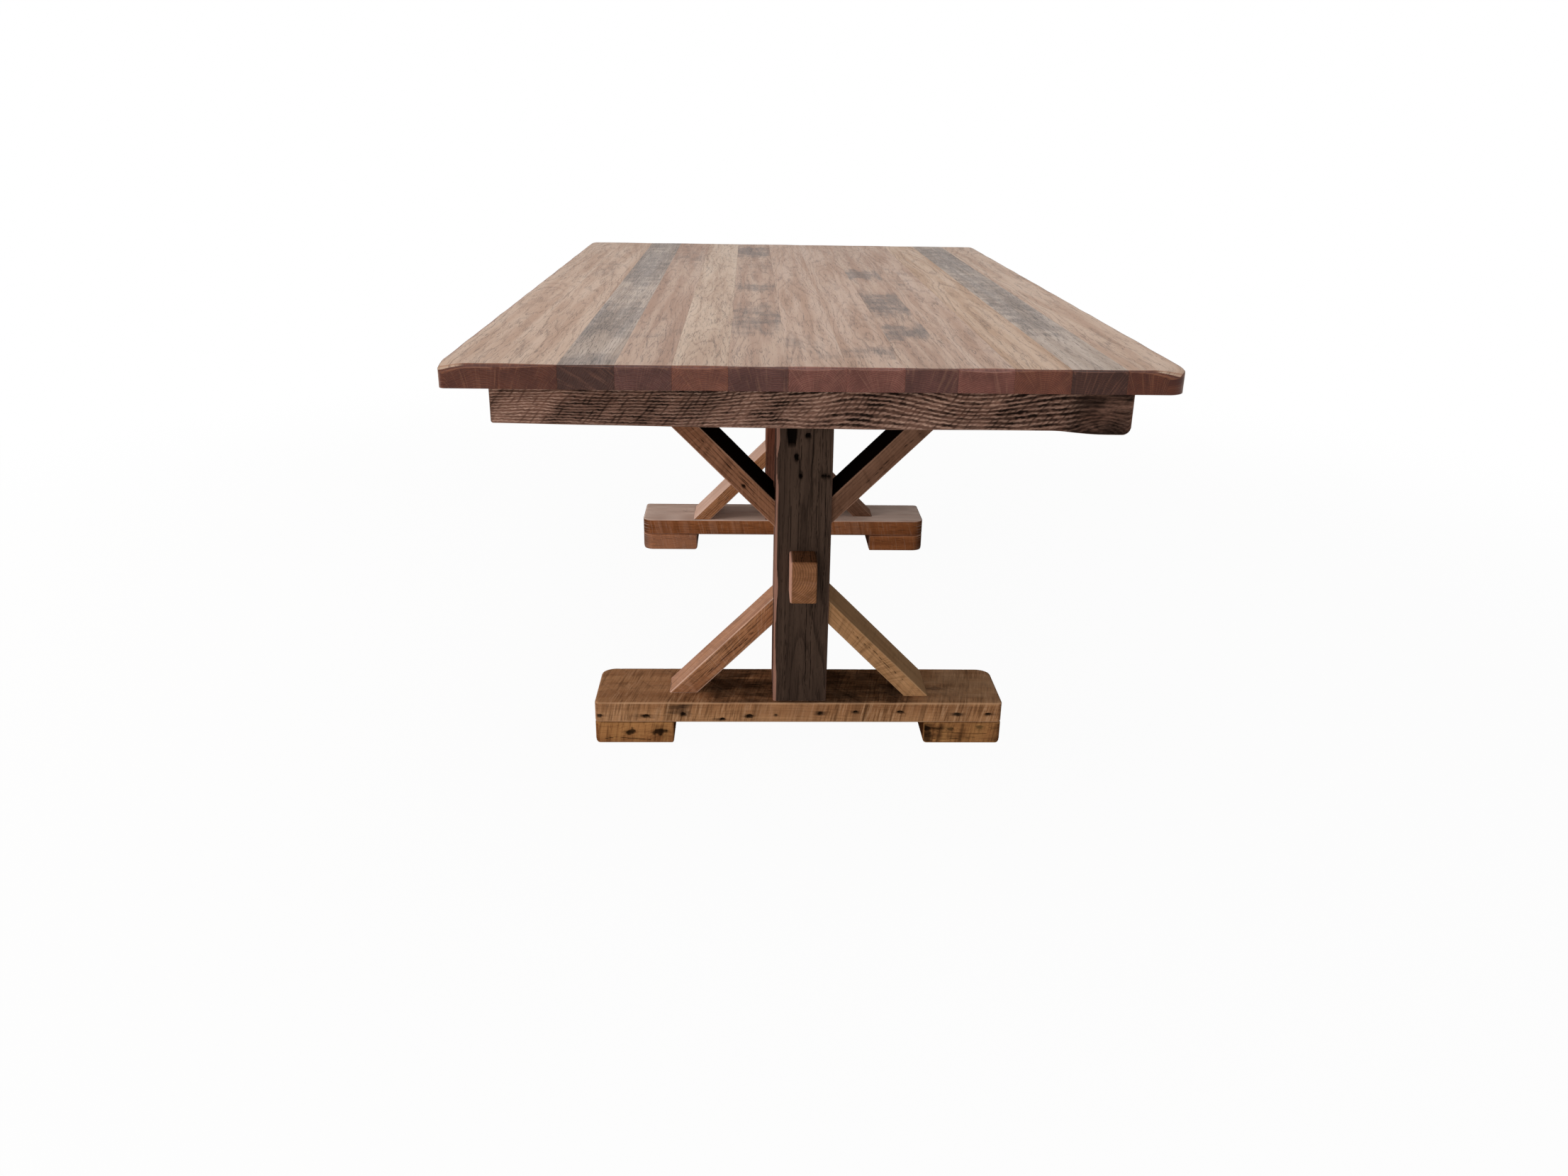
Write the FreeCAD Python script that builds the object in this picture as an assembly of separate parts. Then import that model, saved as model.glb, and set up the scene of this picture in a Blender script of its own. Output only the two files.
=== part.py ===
import FreeCAD
import Part
import math
import os

# Trestle dining table in reclaimed oak, in millimetres.
# X runs across the table, Y along it and Z up. The origin is on the floor under the middle of the top.
# The front is the end at -Y, left is -X and right is +X.

# Whole table
TABLE_HEIGHT = 762.0
TRESTLE_SPACING = 1090.0

# Top: edge-glued boards with a loose spline in each joint
TOP_LENGTH = 1829.0
TOP_WIDTH = 1076.0
TOP_THICKNESS = 35.0
FRONT_LEFT_CORNER_RADIUS = 10.0
FRONT_RIGHT_CORNER_RADIUS = 30.0
REAR_CORNER_RADIUS = 22.0
# Widths of the boards, left to right, compared with equal boards
BOARD_WIDTH_SHARES = (1.02, 1.02, 0.98, 0.98, 0.97, 1.04, 1.01, 1.01, 0.92, 0.98, 1.0, 0.98, 1.09)
SPLINE_WIDTH = 20.0
SPLINE_THICKNESS = 6.0
SPLINE_COVER = 8.0
SPLINE_STOP = 60.0

# Worn upper arris of the top: a bevel whose width wanders along the edge
ARRIS_LEAST = 2.5
END_ARRIS_SWING = 6.0
SIDE_ARRIS_SWING = 1.5
ARRIS_SLOPE_SHARE = 0.6
ARRIS_STATIONS = 26
END_WAVES = 4.5
SIDE_WAVES = 7.5
# Where in a wave the bevel starts on the front, right, rear and left edges
ARRIS_PHASE_SHARES = (0.1, 0.35, 0.6, 0.85)

# Aprons under the top, held by wooden buttons
END_OVERHANG = 54.0
SIDE_OVERHANG = 59.5
APRON_HEIGHT = 68.0
APRON_THICKNESS = 26.0
APRON_CORNER_RADIUS = 13.0
APRON_EASED_EDGE = 2.0
# Lower edge of an end apron, left to right: place along the length, depth below the top
APRON_EDGE_SHARES = ((-0.5, 0.925), (-0.22, 0.98), (0.05, 1.0), (0.384, 1.0))
# The swelling beyond it: two places on its slope, and its full depth
APRON_SLOPE_SHARES = ((0.415, 1.045), (0.443, 1.075))
APRON_SWELL_SHARE = 1.08
BUTTON_WIDTH = 40.0
BUTTON_REACH = 34.0
BUTTON_THICKNESS = 20.0
BUTTON_TONGUE = 12.0
BUTTON_LIP = 10.0
# Buttons along an end apron, by its inner width, and along a side apron, by the space between the bearers
END_BUTTON_SHARES = (-0.3, 0.3)
SIDE_BUTTON_SHARES = (-0.36, 0.0, 0.36)
CORNER_BLOCK_LEG = 80.0
CORNER_BLOCK_SETBACK = 10.0
CORNER_SCREW_SHARE = 0.55
CORNER_SCREW_BITE = 15.0

# Foot of a trestle, standing on two pads
FOOT_LENGTH = 758.0
FOOT_WIDTH = 152.0
FOOT_THICKNESS = 41.0
FOOT_OUTER_CORNER_RADIUS = 10.0
FOOT_INNER_CORNER_RADIUS = 28.0
FOOT_EASED_EDGE = 5.0
PAD_LENGTH = 146.0
PAD_THICKNESS = 43.0
PAD_EASED_EDGE = 4.0
PAD_SCREW_SHARE = 0.3
PAD_SCREW_BITE = 26.0
PAD_SCREW_RECESS = 12.0

# Post between foot and bearer, tenoned into both
POST_WIDTH = 100.0
POST_DEPTH = 138.0
POST_EASED_EDGE = 4.0
POST_TENON_WIDTH = 56.0
POST_TENON_DEPTH = 92.0
POST_TENON_LENGTH = 28.0

# Bearer across the head of a trestle, screwed up into the top
BEARER_GAP = 12.0
BEARER_WIDTH = 138.0
BEARER_HEIGHT = 98.0
BEARER_BEVEL = 45.0
BEARER_EASED_EDGE = 3.0
BEARER_SEAT = 36.0
SLOT_TRAVEL = 6.0

# Braces, four to a trestle, each cut from another old timber: width along Y, depth in the trestle's plane
LEFT_LOWER_BRACE_WIDTH = 68.0
LEFT_LOWER_BRACE_DEPTH = 38.0
RIGHT_LOWER_BRACE_WIDTH = 116.0
RIGHT_LOWER_BRACE_DEPTH = 33.0
RIGHT_LOWER_BRACE_SETBACK = 11.0
LEFT_UPPER_BRACE_WIDTH = 128.0
LEFT_UPPER_BRACE_DEPTH = 35.0
RIGHT_UPPER_BRACE_WIDTH = 94.0
RIGHT_UPPER_BRACE_DEPTH = 37.0
BRACE_ANGLE = 45.0
BRACE_EASED_EDGE = 3.0
LOWER_BRACE_RISE = 193.0
UPPER_BRACE_DROP = 208.0
STUB_LENGTH = 16.0
STUB_WIDTH = 26.0
STUB_SHOULDER = 9.0

# Stretcher between the posts, with a tenon through each and a peg across it
STRETCHER_THICKNESS = 48.0
STRETCHER_HEIGHT = 120.0
STRETCHER_CENTRE_HEIGHT = 341.0
STRETCHER_EASED_EDGE = 3.0
TENON_HEIGHT = 78.0
TENON_PROTRUSION = 60.0
TENON_CHAMFER = 4.5
PEG_RADIUS = 6.0

# Screws and washers
SMALL_SCREW_RADIUS = 2.4
SMALL_HEAD_RADIUS = 4.6
SMALL_HEAD_HEIGHT = 3.0
LAG_RADIUS = 4.0
LAG_HEAD_RADIUS = 6.5
LAG_HEAD_HEIGHT = 5.5
WASHER_RADIUS = 10.0
WASHER_THICKNESS = 2.0
SCREW_TIP_SHARE = 2.0

# Fits
GLUE_LINE = 0.15
MORTISE_RELIEF = 2.0
SCREW_CLEARANCE = 0.4
TIP_COVER = 3.0
OVERRUN = 5.0

# Places that follow from the sizes above
top_underside = TABLE_HEIGHT - TOP_THICKNESS
spline_underside = TABLE_HEIGHT - SPLINE_COVER - SPLINE_THICKNESS
screw_bite = spline_underside - top_underside - TIP_COVER
apron_half_length = TOP_LENGTH / 2 - END_OVERHANG
apron_half_width = TOP_WIDTH / 2 - SIDE_OVERHANG
inner_half_length = apron_half_length - APRON_THICKNESS
inner_half_width = apron_half_width - APRON_THICKNESS
apron_underside = top_underside - APRON_HEIGHT
foot_top = PAD_THICKNESS + FOOT_THICKNESS
bearer_underside = top_underside - BEARER_HEIGHT
post_half_width = POST_WIDTH / 2
post_half_depth = POST_DEPTH / 2
bearer_half_length = inner_half_width - BEARER_GAP
bearer_spacing = TRESTLE_SPACING - BEARER_WIDTH
brace_turn = math.radians(BRACE_ANGLE)
upper_brace_reach = post_half_width + UPPER_BRACE_DROP / math.tan(brace_turn)
upper_brace_depth = max(LEFT_UPPER_BRACE_DEPTH, RIGHT_UPPER_BRACE_DEPTH)

AXIS_X = FreeCAD.Vector(1, 0, 0)
AXIS_Y = FreeCAD.Vector(0, 1, 0)
AXIS_Z = FreeCAD.Vector(0, 0, 1)
ORIGIN = FreeCAD.Vector(0, 0, 0)
TINY = 1e-6

small_screw = (SMALL_SCREW_RADIUS, SMALL_HEAD_RADIUS, SMALL_HEAD_HEIGHT)
lag_screw = (LAG_RADIUS, LAG_HEAD_RADIUS, LAG_HEAD_HEIGHT)


def point(x, y, z):
    """A point in the table's frame."""
    return FreeCAD.Vector(x, y, z)


def block(x_range, y_range, z_range):
    """A box between two values on each axis."""
    (x0, x1), (y0, y1), (z0, z1) = x_range, y_range, z_range
    return Part.makeBox(x1 - x0, y1 - y0, z1 - z0, point(x0, y0, z0))


def about(centre, size):
    """The two ends of a span of this size about its centre."""
    return centre - size / 2, centre + size / 2


def straight_edges(edges, direction):
    """Those of these edges that are straight and run along a direction."""
    lines = [edge for edge in edges if isinstance(edge.Curve, Part.Line)]
    return [edge for edge in lines if edge.Curve.Direction.cross(direction).Length < TINY]


def level_edges(edges, height):
    """Those of these edges that lie wholly at one height."""
    return [edge for edge in edges if all(abs(end.Z - height) < TINY for end in edge.Vertexes)]


def extrude_profile(corners, thickness):
    """A polygon given in X and Z, as thick as asked along Y and centred on Y."""
    outline = [point(x, -thickness / 2, z) for x, z in corners]
    face = Part.Face(Part.makePolygon(outline + outline[:1]))
    return face.extrude(AXIS_Y * thickness)


def turned_solid(outline, tip, direction):
    """A solid of revolution, from pairs of radius and distance behind a tip that points in a direction."""
    wire = Part.makePolygon([point(radius, 0, far) for radius, far in outline + outline[:1]])
    solid = Part.Face(wire).revolve(ORIGIN, AXIS_Z, 360)
    solid.Placement = FreeCAD.Placement(tip, FreeCAD.Rotation(AXIS_Z, direction * -1))
    return solid


def screw(tip, direction, length, size):
    """A wood screw with its point at the tip and a flat head behind a shank of this length."""
    radius, head_radius, head_height = size
    outline = [
        (0, 0),
        (radius, radius * SCREW_TIP_SHARE),
        (radius, length),
        (head_radius, length),
        (head_radius, length + head_height),
        (0, length + head_height),
    ]
    return turned_solid(outline, tip, direction)


def screw_hole(tip, direction, length, radius):
    """The hole that a screw's shank fills, with a cone at its end."""
    outline = [(0, 0), (radius, radius * SCREW_TIP_SHARE), (radius, length), (0, length)]
    return turned_solid(outline, tip, direction)


# Top


def arris_width(place, swing):
    """How wide the worn bevel is at a place along an edge, counted in waves."""
    slow = math.sin(2 * math.pi * place)
    quick = math.sin(2 * math.pi * place * math.sqrt(3))
    return ARRIS_LEAST + swing * (2 + slow + quick) / 4


def arris_cutter(half_span, edge, waves, swing, phase):
    """A wedge that wears the upper arris of the edge at y = edge, from -half_span to half_span in x."""
    sections = []
    reach = half_span + OVERRUN
    for station in range(ARRIS_STATIONS + 1):
        share = station / ARRIS_STATIONS
        x = -reach + 2 * reach * share
        width = arris_width(waves * share + phase, swing)
        drop = width * ARRIS_SLOPE_SHARE
        corners = [
            point(x, edge - 2 * width, TABLE_HEIGHT + drop),
            point(x, edge + width, TABLE_HEIGHT - 2 * drop),
            point(x, edge + width, TABLE_HEIGHT + drop),
        ]
        sections.append(Part.makePolygon(corners + corners[:1]))
    return Part.makeLoft(sections, True, True)


def arris_cutters():
    """The wedges for the four edges of the top, each with its own run of waves."""
    end = (TOP_WIDTH / 2, TOP_LENGTH / 2, END_WAVES, END_ARRIS_SWING)
    side = (TOP_LENGTH / 2, TOP_WIDTH / 2, SIDE_WAVES, SIDE_ARRIS_SWING)
    cutters = []
    for sizes, phase, turn in zip((end, side, end, side), ARRIS_PHASE_SHARES, (180, -90, 0, 90)):
        cutter = arris_cutter(*sizes, phase)
        cutter.rotate(ORIGIN, AXIS_Z, turn)
        cutters.append(cutter)
    return cutters


def board_spans():
    """The left and right side of each board across the top."""
    total = sum(BOARD_WIDTH_SHARES)
    places = [-TOP_WIDTH / 2]
    for share in BOARD_WIDTH_SHARES:
        places.append(places[-1] + TOP_WIDTH * share / total)
    return list(zip(places, places[1:]))


def joint_places():
    """Where the joints between neighbouring boards lie across the top."""
    return [right for left, right in board_spans()[:-1]]


def edge_spline(x):
    """The loose spline in the joint at x. It lies on the floor of its groove."""
    length = TOP_LENGTH - 2 * SPLINE_STOP
    z_range = (spline_underside, spline_underside + SPLINE_THICKNESS)
    return block(about(x, SPLINE_WIDTH), about(0, length), z_range)


def spline_groove(x):
    """The groove for a spline, cut into both boards of a joint."""
    width = SPLINE_WIDTH + 2 * GLUE_LINE
    length = TOP_LENGTH - 2 * SPLINE_STOP + 2 * GLUE_LINE
    z_range = (spline_underside, spline_underside + SPLINE_THICKNESS + GLUE_LINE)
    return block(about(x, width), about(0, length), z_range)


def round_corner(slab, x_side, y_side, radius):
    """The slab with its upright edge furthest out towards one corner rounded."""
    edges = straight_edges(slab.Edges, AXIS_Z)
    corner = max(edges, key=lambda edge: x_side * edge.CenterOfMass.x + y_side * edge.CenterOfMass.y)
    return slab.makeFillet(radius, [corner])


def top_boards(holes):
    """The boards of the top, left to right, with screw holes cut in from below."""
    slab = block(about(0, TOP_WIDTH), about(0, TOP_LENGTH), (top_underside, TABLE_HEIGHT))
    slab = round_corner(slab, -1, -1, FRONT_LEFT_CORNER_RADIUS)
    slab = round_corner(slab, 1, -1, FRONT_RIGHT_CORNER_RADIUS)
    slab = round_corner(slab, 1, 1, REAR_CORNER_RADIUS)
    slab = round_corner(slab, -1, 1, REAR_CORNER_RADIUS)
    slab = slab.cut(arris_cutters())
    boards = []
    for left, right in board_spans():
        strip = block((left, right), about(0, TOP_LENGTH), (top_underside, TABLE_HEIGHT))
        grooves = [spline_groove(x) for x in joint_places()]
        spans = [(tool, tool.BoundBox) for tool in grooves + holes]
        tools = [tool for tool, span in spans if span.XMax > left and span.XMin < right]
        boards.append(slab.common(strip).cut(tools))
    return boards


# Aprons, buttons and corner blocks


def end_apron():
    """The apron at the front end, with the wandering lower edge and the swelling at its right end."""
    half, height = apron_half_width, APRON_HEIGHT
    shares = APRON_EDGE_SHARES + APRON_SLOPE_SHARES
    edge = [point(2 * half * along, 0, top_underside - height * depth) for along, depth in shares]
    flat = len(APRON_EDGE_SHARES)
    low = top_underside - height * APRON_SWELL_SHARE
    swell = point(half - APRON_CORNER_RADIUS, 0, low)
    corner = point(half, 0, low + APRON_CORNER_RADIUS)
    bow = APRON_CORNER_RADIUS * (1 - math.sqrt(0.5))
    middle = point(half - bow, 0, low + bow)
    run, slope = Part.BSplineCurve(), Part.BSplineCurve()
    run.interpolate(edge[:flat], InitialTangent=AXIS_X, FinalTangent=AXIS_X)
    slope.interpolate(edge[flat - 1:] + [swell], InitialTangent=AXIS_X, FinalTangent=AXIS_X)
    upper_right = point(half, 0, top_underside)
    upper_left = point(-half, 0, top_underside)
    outline = [
        run.toShape(),
        slope.toShape(),
        Part.Arc(swell, middle, corner).toShape(),
        Part.makeLine(corner, upper_right),
        Part.makeLine(upper_right, upper_left),
        Part.makeLine(upper_left, edge[0]),
    ]
    apron = Part.Face(Part.Wire(outline)).extrude(AXIS_Y * APRON_THICKNESS)
    apron.translate(point(0, -apron_half_length, 0))
    return apron


def side_apron():
    """The apron along the right side, between the end aprons."""
    x_range = (inner_half_width, apron_half_width)
    apron = block(x_range, about(0, 2 * inner_half_length), (apron_underside, top_underside))
    lower = straight_edges(level_edges(apron.Edges, apron_underside), AXIS_Y)
    return apron.makeChamfer(APRON_EASED_EDGE, lower)


def button(centre, wall):
    """A button whose tongue points to +Y into a wall at y = wall, with its body against the top."""
    low = top_underside - BUTTON_THICKNESS
    width = about(centre, BUTTON_WIDTH)
    body = block(width, (wall - BUTTON_REACH, wall), (low, top_underside))
    tongue = block(width, (wall, wall + BUTTON_TONGUE), (low, top_underside - BUTTON_LIP))
    return body.fuse(tongue).removeSplitter()


def button_slot(centre, wall):
    """The slot in the apron for a button's tongue, which pulls up against the lip above it."""
    width = BUTTON_WIDTH + 2 * MORTISE_RELIEF
    z_range = (top_underside - BUTTON_THICKNESS - MORTISE_RELIEF, top_underside - BUTTON_LIP)
    return block(about(centre, width), (wall, wall + BUTTON_TONGUE + MORTISE_RELIEF), z_range)


def button_screw_tip(centre, wall):
    """Where the tip of a button's screw ends inside the top."""
    return point(centre, wall - BUTTON_REACH / 2, top_underside + screw_bite)


def button_screw_length():
    """Length of a button screw from the button's seat to its tip."""
    return BUTTON_THICKNESS - SMALL_HEAD_HEIGHT + screw_bite


def button_screw(centre, wall):
    """The screw up through a button into the top, with its head let in flush."""
    return screw(button_screw_tip(centre, wall), AXIS_Z, button_screw_length(), small_screw)


def button_screw_hole(centre, wall):
    """The pilot hole in the top for that screw."""
    return screw_hole(button_screw_tip(centre, wall), AXIS_Z, screw_bite, SMALL_SCREW_RADIUS)


def corner_block():
    """The three-cornered block in the front right corner of the aprons, bored for its two screws."""
    x, y, leg = inner_half_width, -inner_half_length, CORNER_BLOCK_LEG
    corners = [point(x, y, 0), point(x, y + leg, 0), point(x - leg, y, 0)]
    face = Part.Face(Part.makePolygon(corners + corners[:1]))
    height = APRON_HEIGHT - CORNER_BLOCK_SETBACK
    solid = face.extrude(AXIS_Z * height)
    solid.translate(point(0, 0, top_underside - height))
    return solid.cut(corner_screw_holes())


def corner_screw_seats():
    """Tip, direction and shank length of the two screws of the front right corner block."""
    inward = CORNER_BLOCK_LEG * CORNER_SCREW_SHARE
    shank = (CORNER_BLOCK_LEG - inward) / 2 + CORNER_SCREW_BITE
    third = (APRON_HEIGHT - CORNER_BLOCK_SETBACK) / 3
    x, y = inner_half_width, -inner_half_length
    end_tip = point(x - inward, y - CORNER_SCREW_BITE, top_underside - third)
    side_tip = point(x + CORNER_SCREW_BITE, y + inward, top_underside - 2 * third)
    return [(end_tip, AXIS_Y * -1, shank), (side_tip, AXIS_X, shank)]


def corner_screws():
    """The two screws of the front right corner block."""
    return [screw(tip, direction, shank, small_screw) for tip, direction, shank in corner_screw_seats()]


def corner_screw_holes():
    """Holes for those screws in the block and the aprons, with a recess for each head."""
    recess = SMALL_HEAD_RADIUS + SCREW_CLEARANCE
    holes = []
    for tip, direction, shank in corner_screw_seats():
        seat = tip - direction * shank
        holes.append(screw_hole(tip, direction, shank, SMALL_SCREW_RADIUS))
        holes.append(Part.makeCylinder(recess, CORNER_BLOCK_LEG, seat, direction * -1))
    return holes


# Trestle, modelled at the origin with its outer face to -Y


def foot_slab(x_range, z_range):
    """A slab as wide as the foot."""
    return block(x_range, about(0, FOOT_WIDTH), z_range)


def round_foot_corners(slab, x_side):
    """The slab with its two upright edges at one end rounded, less on the table's outer side."""
    slab = round_corner(slab, x_side, -1, FOOT_OUTER_CORNER_RADIUS)
    return round_corner(slab, x_side, 1, FOOT_INNER_CORNER_RADIUS)


def pad_centre():
    """Where the middle of the right pad lies across the table."""
    return FOOT_LENGTH / 2 - PAD_LENGTH / 2


def pad_screw_tips():
    """Where the tips of the right pad's screws end inside the foot."""
    offset = FOOT_WIDTH * PAD_SCREW_SHARE
    return [point(pad_centre(), y, PAD_THICKNESS + PAD_SCREW_BITE) for y in (-offset, offset)]


def pad_screw_shank():
    """Length of a pad screw under its head."""
    return PAD_THICKNESS - PAD_SCREW_RECESS + PAD_SCREW_BITE


def pad_screws():
    """Screws that hold the right pad, driven from below."""
    return [screw(tip, AXIS_Z, pad_screw_shank(), small_screw) for tip in pad_screw_tips()]


def pad_screw_holes():
    """Holes for those screws in pad and foot, with a recess for each head."""
    recess = SMALL_HEAD_RADIUS + SCREW_CLEARANCE
    holes = []
    for tip in pad_screw_tips():
        holes.append(screw_hole(tip, AXIS_Z, pad_screw_shank(), SMALL_SCREW_RADIUS))
        holes.append(Part.makeCylinder(recess, PAD_SCREW_RECESS, point(tip.x, tip.y, 0)))
    return holes


def pad():
    """The right pad under the foot, with its two outer corners rounded as the foot's are."""
    outer = FOOT_LENGTH / 2
    solid = foot_slab((outer - PAD_LENGTH, outer), (0, PAD_THICKNESS))
    solid = round_foot_corners(solid, 1)
    solid = solid.makeChamfer(PAD_EASED_EDGE, level_edges(solid.Edges, 0))
    return solid.cut(pad_screw_holes())


def post_tenon(z_range, slack):
    """A tenon of the post, or its mortise where there is slack."""
    return block(about(0, POST_TENON_WIDTH + 2 * slack), about(0, POST_TENON_DEPTH + 2 * slack), z_range)


def foot():
    """The foot plank, mortised for the post and for the two lower braces."""
    solid = foot_slab(about(0, FOOT_LENGTH), (PAD_THICKNESS, foot_top))
    solid = round_foot_corners(round_foot_corners(solid, -1), 1)
    solid = solid.makeFillet(FOOT_EASED_EDGE, level_edges(solid.Edges, foot_top))
    mortise = post_tenon((foot_top - POST_TENON_LENGTH - MORTISE_RELIEF, foot_top), GLUE_LINE)
    stubs = [into_level for into_post, into_level in lower_brace_stubs(GLUE_LINE, MORTISE_RELIEF)]
    return solid.cut([mortise] + stubs + both_sides(pad_screw_holes()))


def bearer():
    """The bearer, mortised for the post and the upper braces and bored for the screws up into the top."""
    half = bearer_half_length
    corners = [
        (-half, top_underside),
        (-half, bearer_underside + BEARER_BEVEL),
        (-half + BEARER_BEVEL, bearer_underside),
        (half - BEARER_BEVEL, bearer_underside),
        (half, bearer_underside + BEARER_BEVEL),
        (half, top_underside),
    ]
    solid = extrude_profile(corners, BEARER_WIDTH)
    lower = straight_edges(level_edges(solid.Edges, bearer_underside), AXIS_X)
    solid = solid.makeChamfer(BEARER_EASED_EDGE, lower)
    mortise_top = bearer_underside + POST_TENON_LENGTH + MORTISE_RELIEF
    mortise = post_tenon((bearer_underside, mortise_top), GLUE_LINE)
    stubs = [into_level for into_post, into_level in upper_brace_stubs(GLUE_LINE, MORTISE_RELIEF)]
    return solid.cut([mortise] + stubs + both_sides(top_screw_wells()))


def top_screw_places():
    """Where the screws in the right half of a bearer stand: inside the brace's head and outside it."""
    inner = (post_half_width + upper_brace_reach - upper_brace_depth / math.sin(brace_turn)) / 2
    outer = (upper_brace_reach + bearer_half_length - BEARER_BEVEL) / 2
    return [inner, outer]


def top_screw_shank():
    """Length of a top screw under its head."""
    return WASHER_THICKNESS + BEARER_SEAT + screw_bite


def top_screw_tip(x):
    """The tip of a top screw inside the top."""
    return point(x, 0, top_underside + screw_bite)


def top_screws():
    """The screws in the right half of a bearer, up into the top."""
    return [screw(top_screw_tip(x), AXIS_Z, top_screw_shank(), lag_screw) for x in top_screw_places()]


def top_washers():
    """The washers under their heads."""
    seat = top_underside - BEARER_SEAT - WASHER_THICKNESS
    washers = []
    for x in top_screw_places():
        disc = Part.makeCylinder(WASHER_RADIUS, WASHER_THICKNESS, point(x, 0, seat))
        washers.append(disc.cut(Part.makeCylinder(LAG_RADIUS, WASHER_THICKNESS, point(x, 0, seat))))
    return washers


def top_screw_wells():
    """Wells from below for the heads, and slots across the top's grain that let it move."""
    seat = top_underside - BEARER_SEAT
    radius = LAG_RADIUS + SCREW_CLEARANCE
    wells = []
    for x in top_screw_places():
        well_radius = WASHER_RADIUS + SLOT_TRAVEL / 2 + SCREW_CLEARANCE
        wells.append(Part.makeCylinder(well_radius, seat - bearer_underside, point(x, 0, bearer_underside)))
        slot = block(about(x, SLOT_TRAVEL), about(0, 2 * radius), (seat, top_underside))
        for end in about(x, SLOT_TRAVEL):
            slot = slot.fuse(Part.makeCylinder(radius, BEARER_SEAT, point(end, 0, seat)))
        wells.append(slot)
    return wells


def top_screw_holes():
    """Pilot holes in the top for the screws in the right half of a bearer."""
    return [screw_hole(top_screw_tip(x), AXIS_Z, screw_bite, LAG_RADIUS) for x in top_screw_places()]


def lower_brace_corners(depth):
    """Outline of a lower brace on the right, from the post down to the foot."""
    reach = LOWER_BRACE_RISE / math.tan(brace_turn)
    return [
        (post_half_width, foot_top + LOWER_BRACE_RISE),
        (post_half_width, foot_top + LOWER_BRACE_RISE - depth / math.cos(brace_turn)),
        (post_half_width + reach - depth / math.sin(brace_turn), foot_top),
        (post_half_width + reach, foot_top),
    ]


def upper_brace_corners(depth):
    """Outline of an upper brace on the right, from the post up to the bearer."""
    low = bearer_underside - UPPER_BRACE_DROP
    return [
        (post_half_width, low),
        (post_half_width, low + depth / math.cos(brace_turn)),
        (upper_brace_reach - depth / math.sin(brace_turn), bearer_underside),
        (upper_brace_reach, bearer_underside),
    ]


def stub(x_range, z_range, slack):
    """A stub tenon at the end of a brace, or its mortise where there is slack."""
    (x0, x1), (z0, z1) = x_range, z_range
    return block((x0, x1), about(0, STUB_WIDTH + 2 * slack), (z0, z1))


def brace_stubs(corners, level, slack, relief):
    """Both stub tenons of a brace with these corners: into the post, and up or down past a level face."""
    heights = sorted(z for x, z in corners[:2])
    places = sorted(x for x, z in corners[2:])
    post_span = (heights[0] + STUB_SHOULDER - slack, heights[1] - STUB_SHOULDER + slack)
    level_span = (places[0] + STUB_SHOULDER - slack, places[1] - STUB_SHOULDER + slack)
    into_post = stub((post_half_width - STUB_LENGTH - relief, post_half_width), post_span, slack)
    upward = 1 if level > heights[1] else -1
    depth = sorted((level, level + upward * (STUB_LENGTH + relief)))
    return [into_post, stub(level_span, depth, slack)]


def lower_brace_stubs(slack, relief):
    """Stub tenons of the lower braces, those of the right brace first."""
    right = brace_stubs(lower_brace_corners(RIGHT_LOWER_BRACE_DEPTH), foot_top, slack, relief)
    left = brace_stubs(lower_brace_corners(LEFT_LOWER_BRACE_DEPTH), foot_top, slack, relief)
    return [right, [mirrored(one) for one in left]]


def upper_brace_stubs(slack, relief):
    """Stub tenons of the upper braces, those of the right brace first."""
    right = brace_stubs(upper_brace_corners(RIGHT_UPPER_BRACE_DEPTH), bearer_underside, slack, relief)
    left = brace_stubs(upper_brace_corners(LEFT_UPPER_BRACE_DEPTH), bearer_underside, slack, relief)
    return [right, [mirrored(one) for one in left]]


def brace_beam(corners, width, setback):
    """A brace on the right without its tenons: eased long edges, set back from the trestle's middle."""
    solid = extrude_profile(corners, width)
    (head_x, head_z), (tail_x, tail_z) = corners[0], corners[3]
    along = point(tail_x - head_x, 0, tail_z - head_z).normalize()
    solid = solid.makeChamfer(BRACE_EASED_EDGE, straight_edges(solid.Edges, along))
    solid.translate(AXIS_Y * setback)
    return solid


def lower_braces():
    """The lower braces with their stub tenons, the right one first."""
    right_corners = lower_brace_corners(RIGHT_LOWER_BRACE_DEPTH)
    right = brace_beam(right_corners, RIGHT_LOWER_BRACE_WIDTH, RIGHT_LOWER_BRACE_SETBACK)
    left = mirrored(brace_beam(lower_brace_corners(LEFT_LOWER_BRACE_DEPTH), LEFT_LOWER_BRACE_WIDTH, 0))
    return [beam.fuse(stubs).removeSplitter() for beam, stubs in zip((right, left), lower_brace_stubs(0, 0))]


def upper_braces():
    """The upper braces with their stub tenons, the right one first."""
    right = brace_beam(upper_brace_corners(RIGHT_UPPER_BRACE_DEPTH), RIGHT_UPPER_BRACE_WIDTH, 0)
    left = mirrored(brace_beam(upper_brace_corners(LEFT_UPPER_BRACE_DEPTH), LEFT_UPPER_BRACE_WIDTH, 0))
    return [beam.fuse(stubs).removeSplitter() for beam, stubs in zip((right, left), upper_brace_stubs(0, 0))]


def stretcher_mortise():
    """The mortise through a post for the stretcher's tenon, which rests on its floor."""
    low, high = about(STRETCHER_CENTRE_HEIGHT, TENON_HEIGHT)
    width = STRETCHER_THICKNESS + 2 * GLUE_LINE
    return block(about(0, width), about(0, POST_DEPTH), (low, high + GLUE_LINE))


def peg():
    """The peg across a post and the stretcher's tenon."""
    start = point(-post_half_width, 0, STRETCHER_CENTRE_HEIGHT)
    return Part.makeCylinder(PEG_RADIUS, POST_WIDTH, start, AXIS_X)


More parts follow.
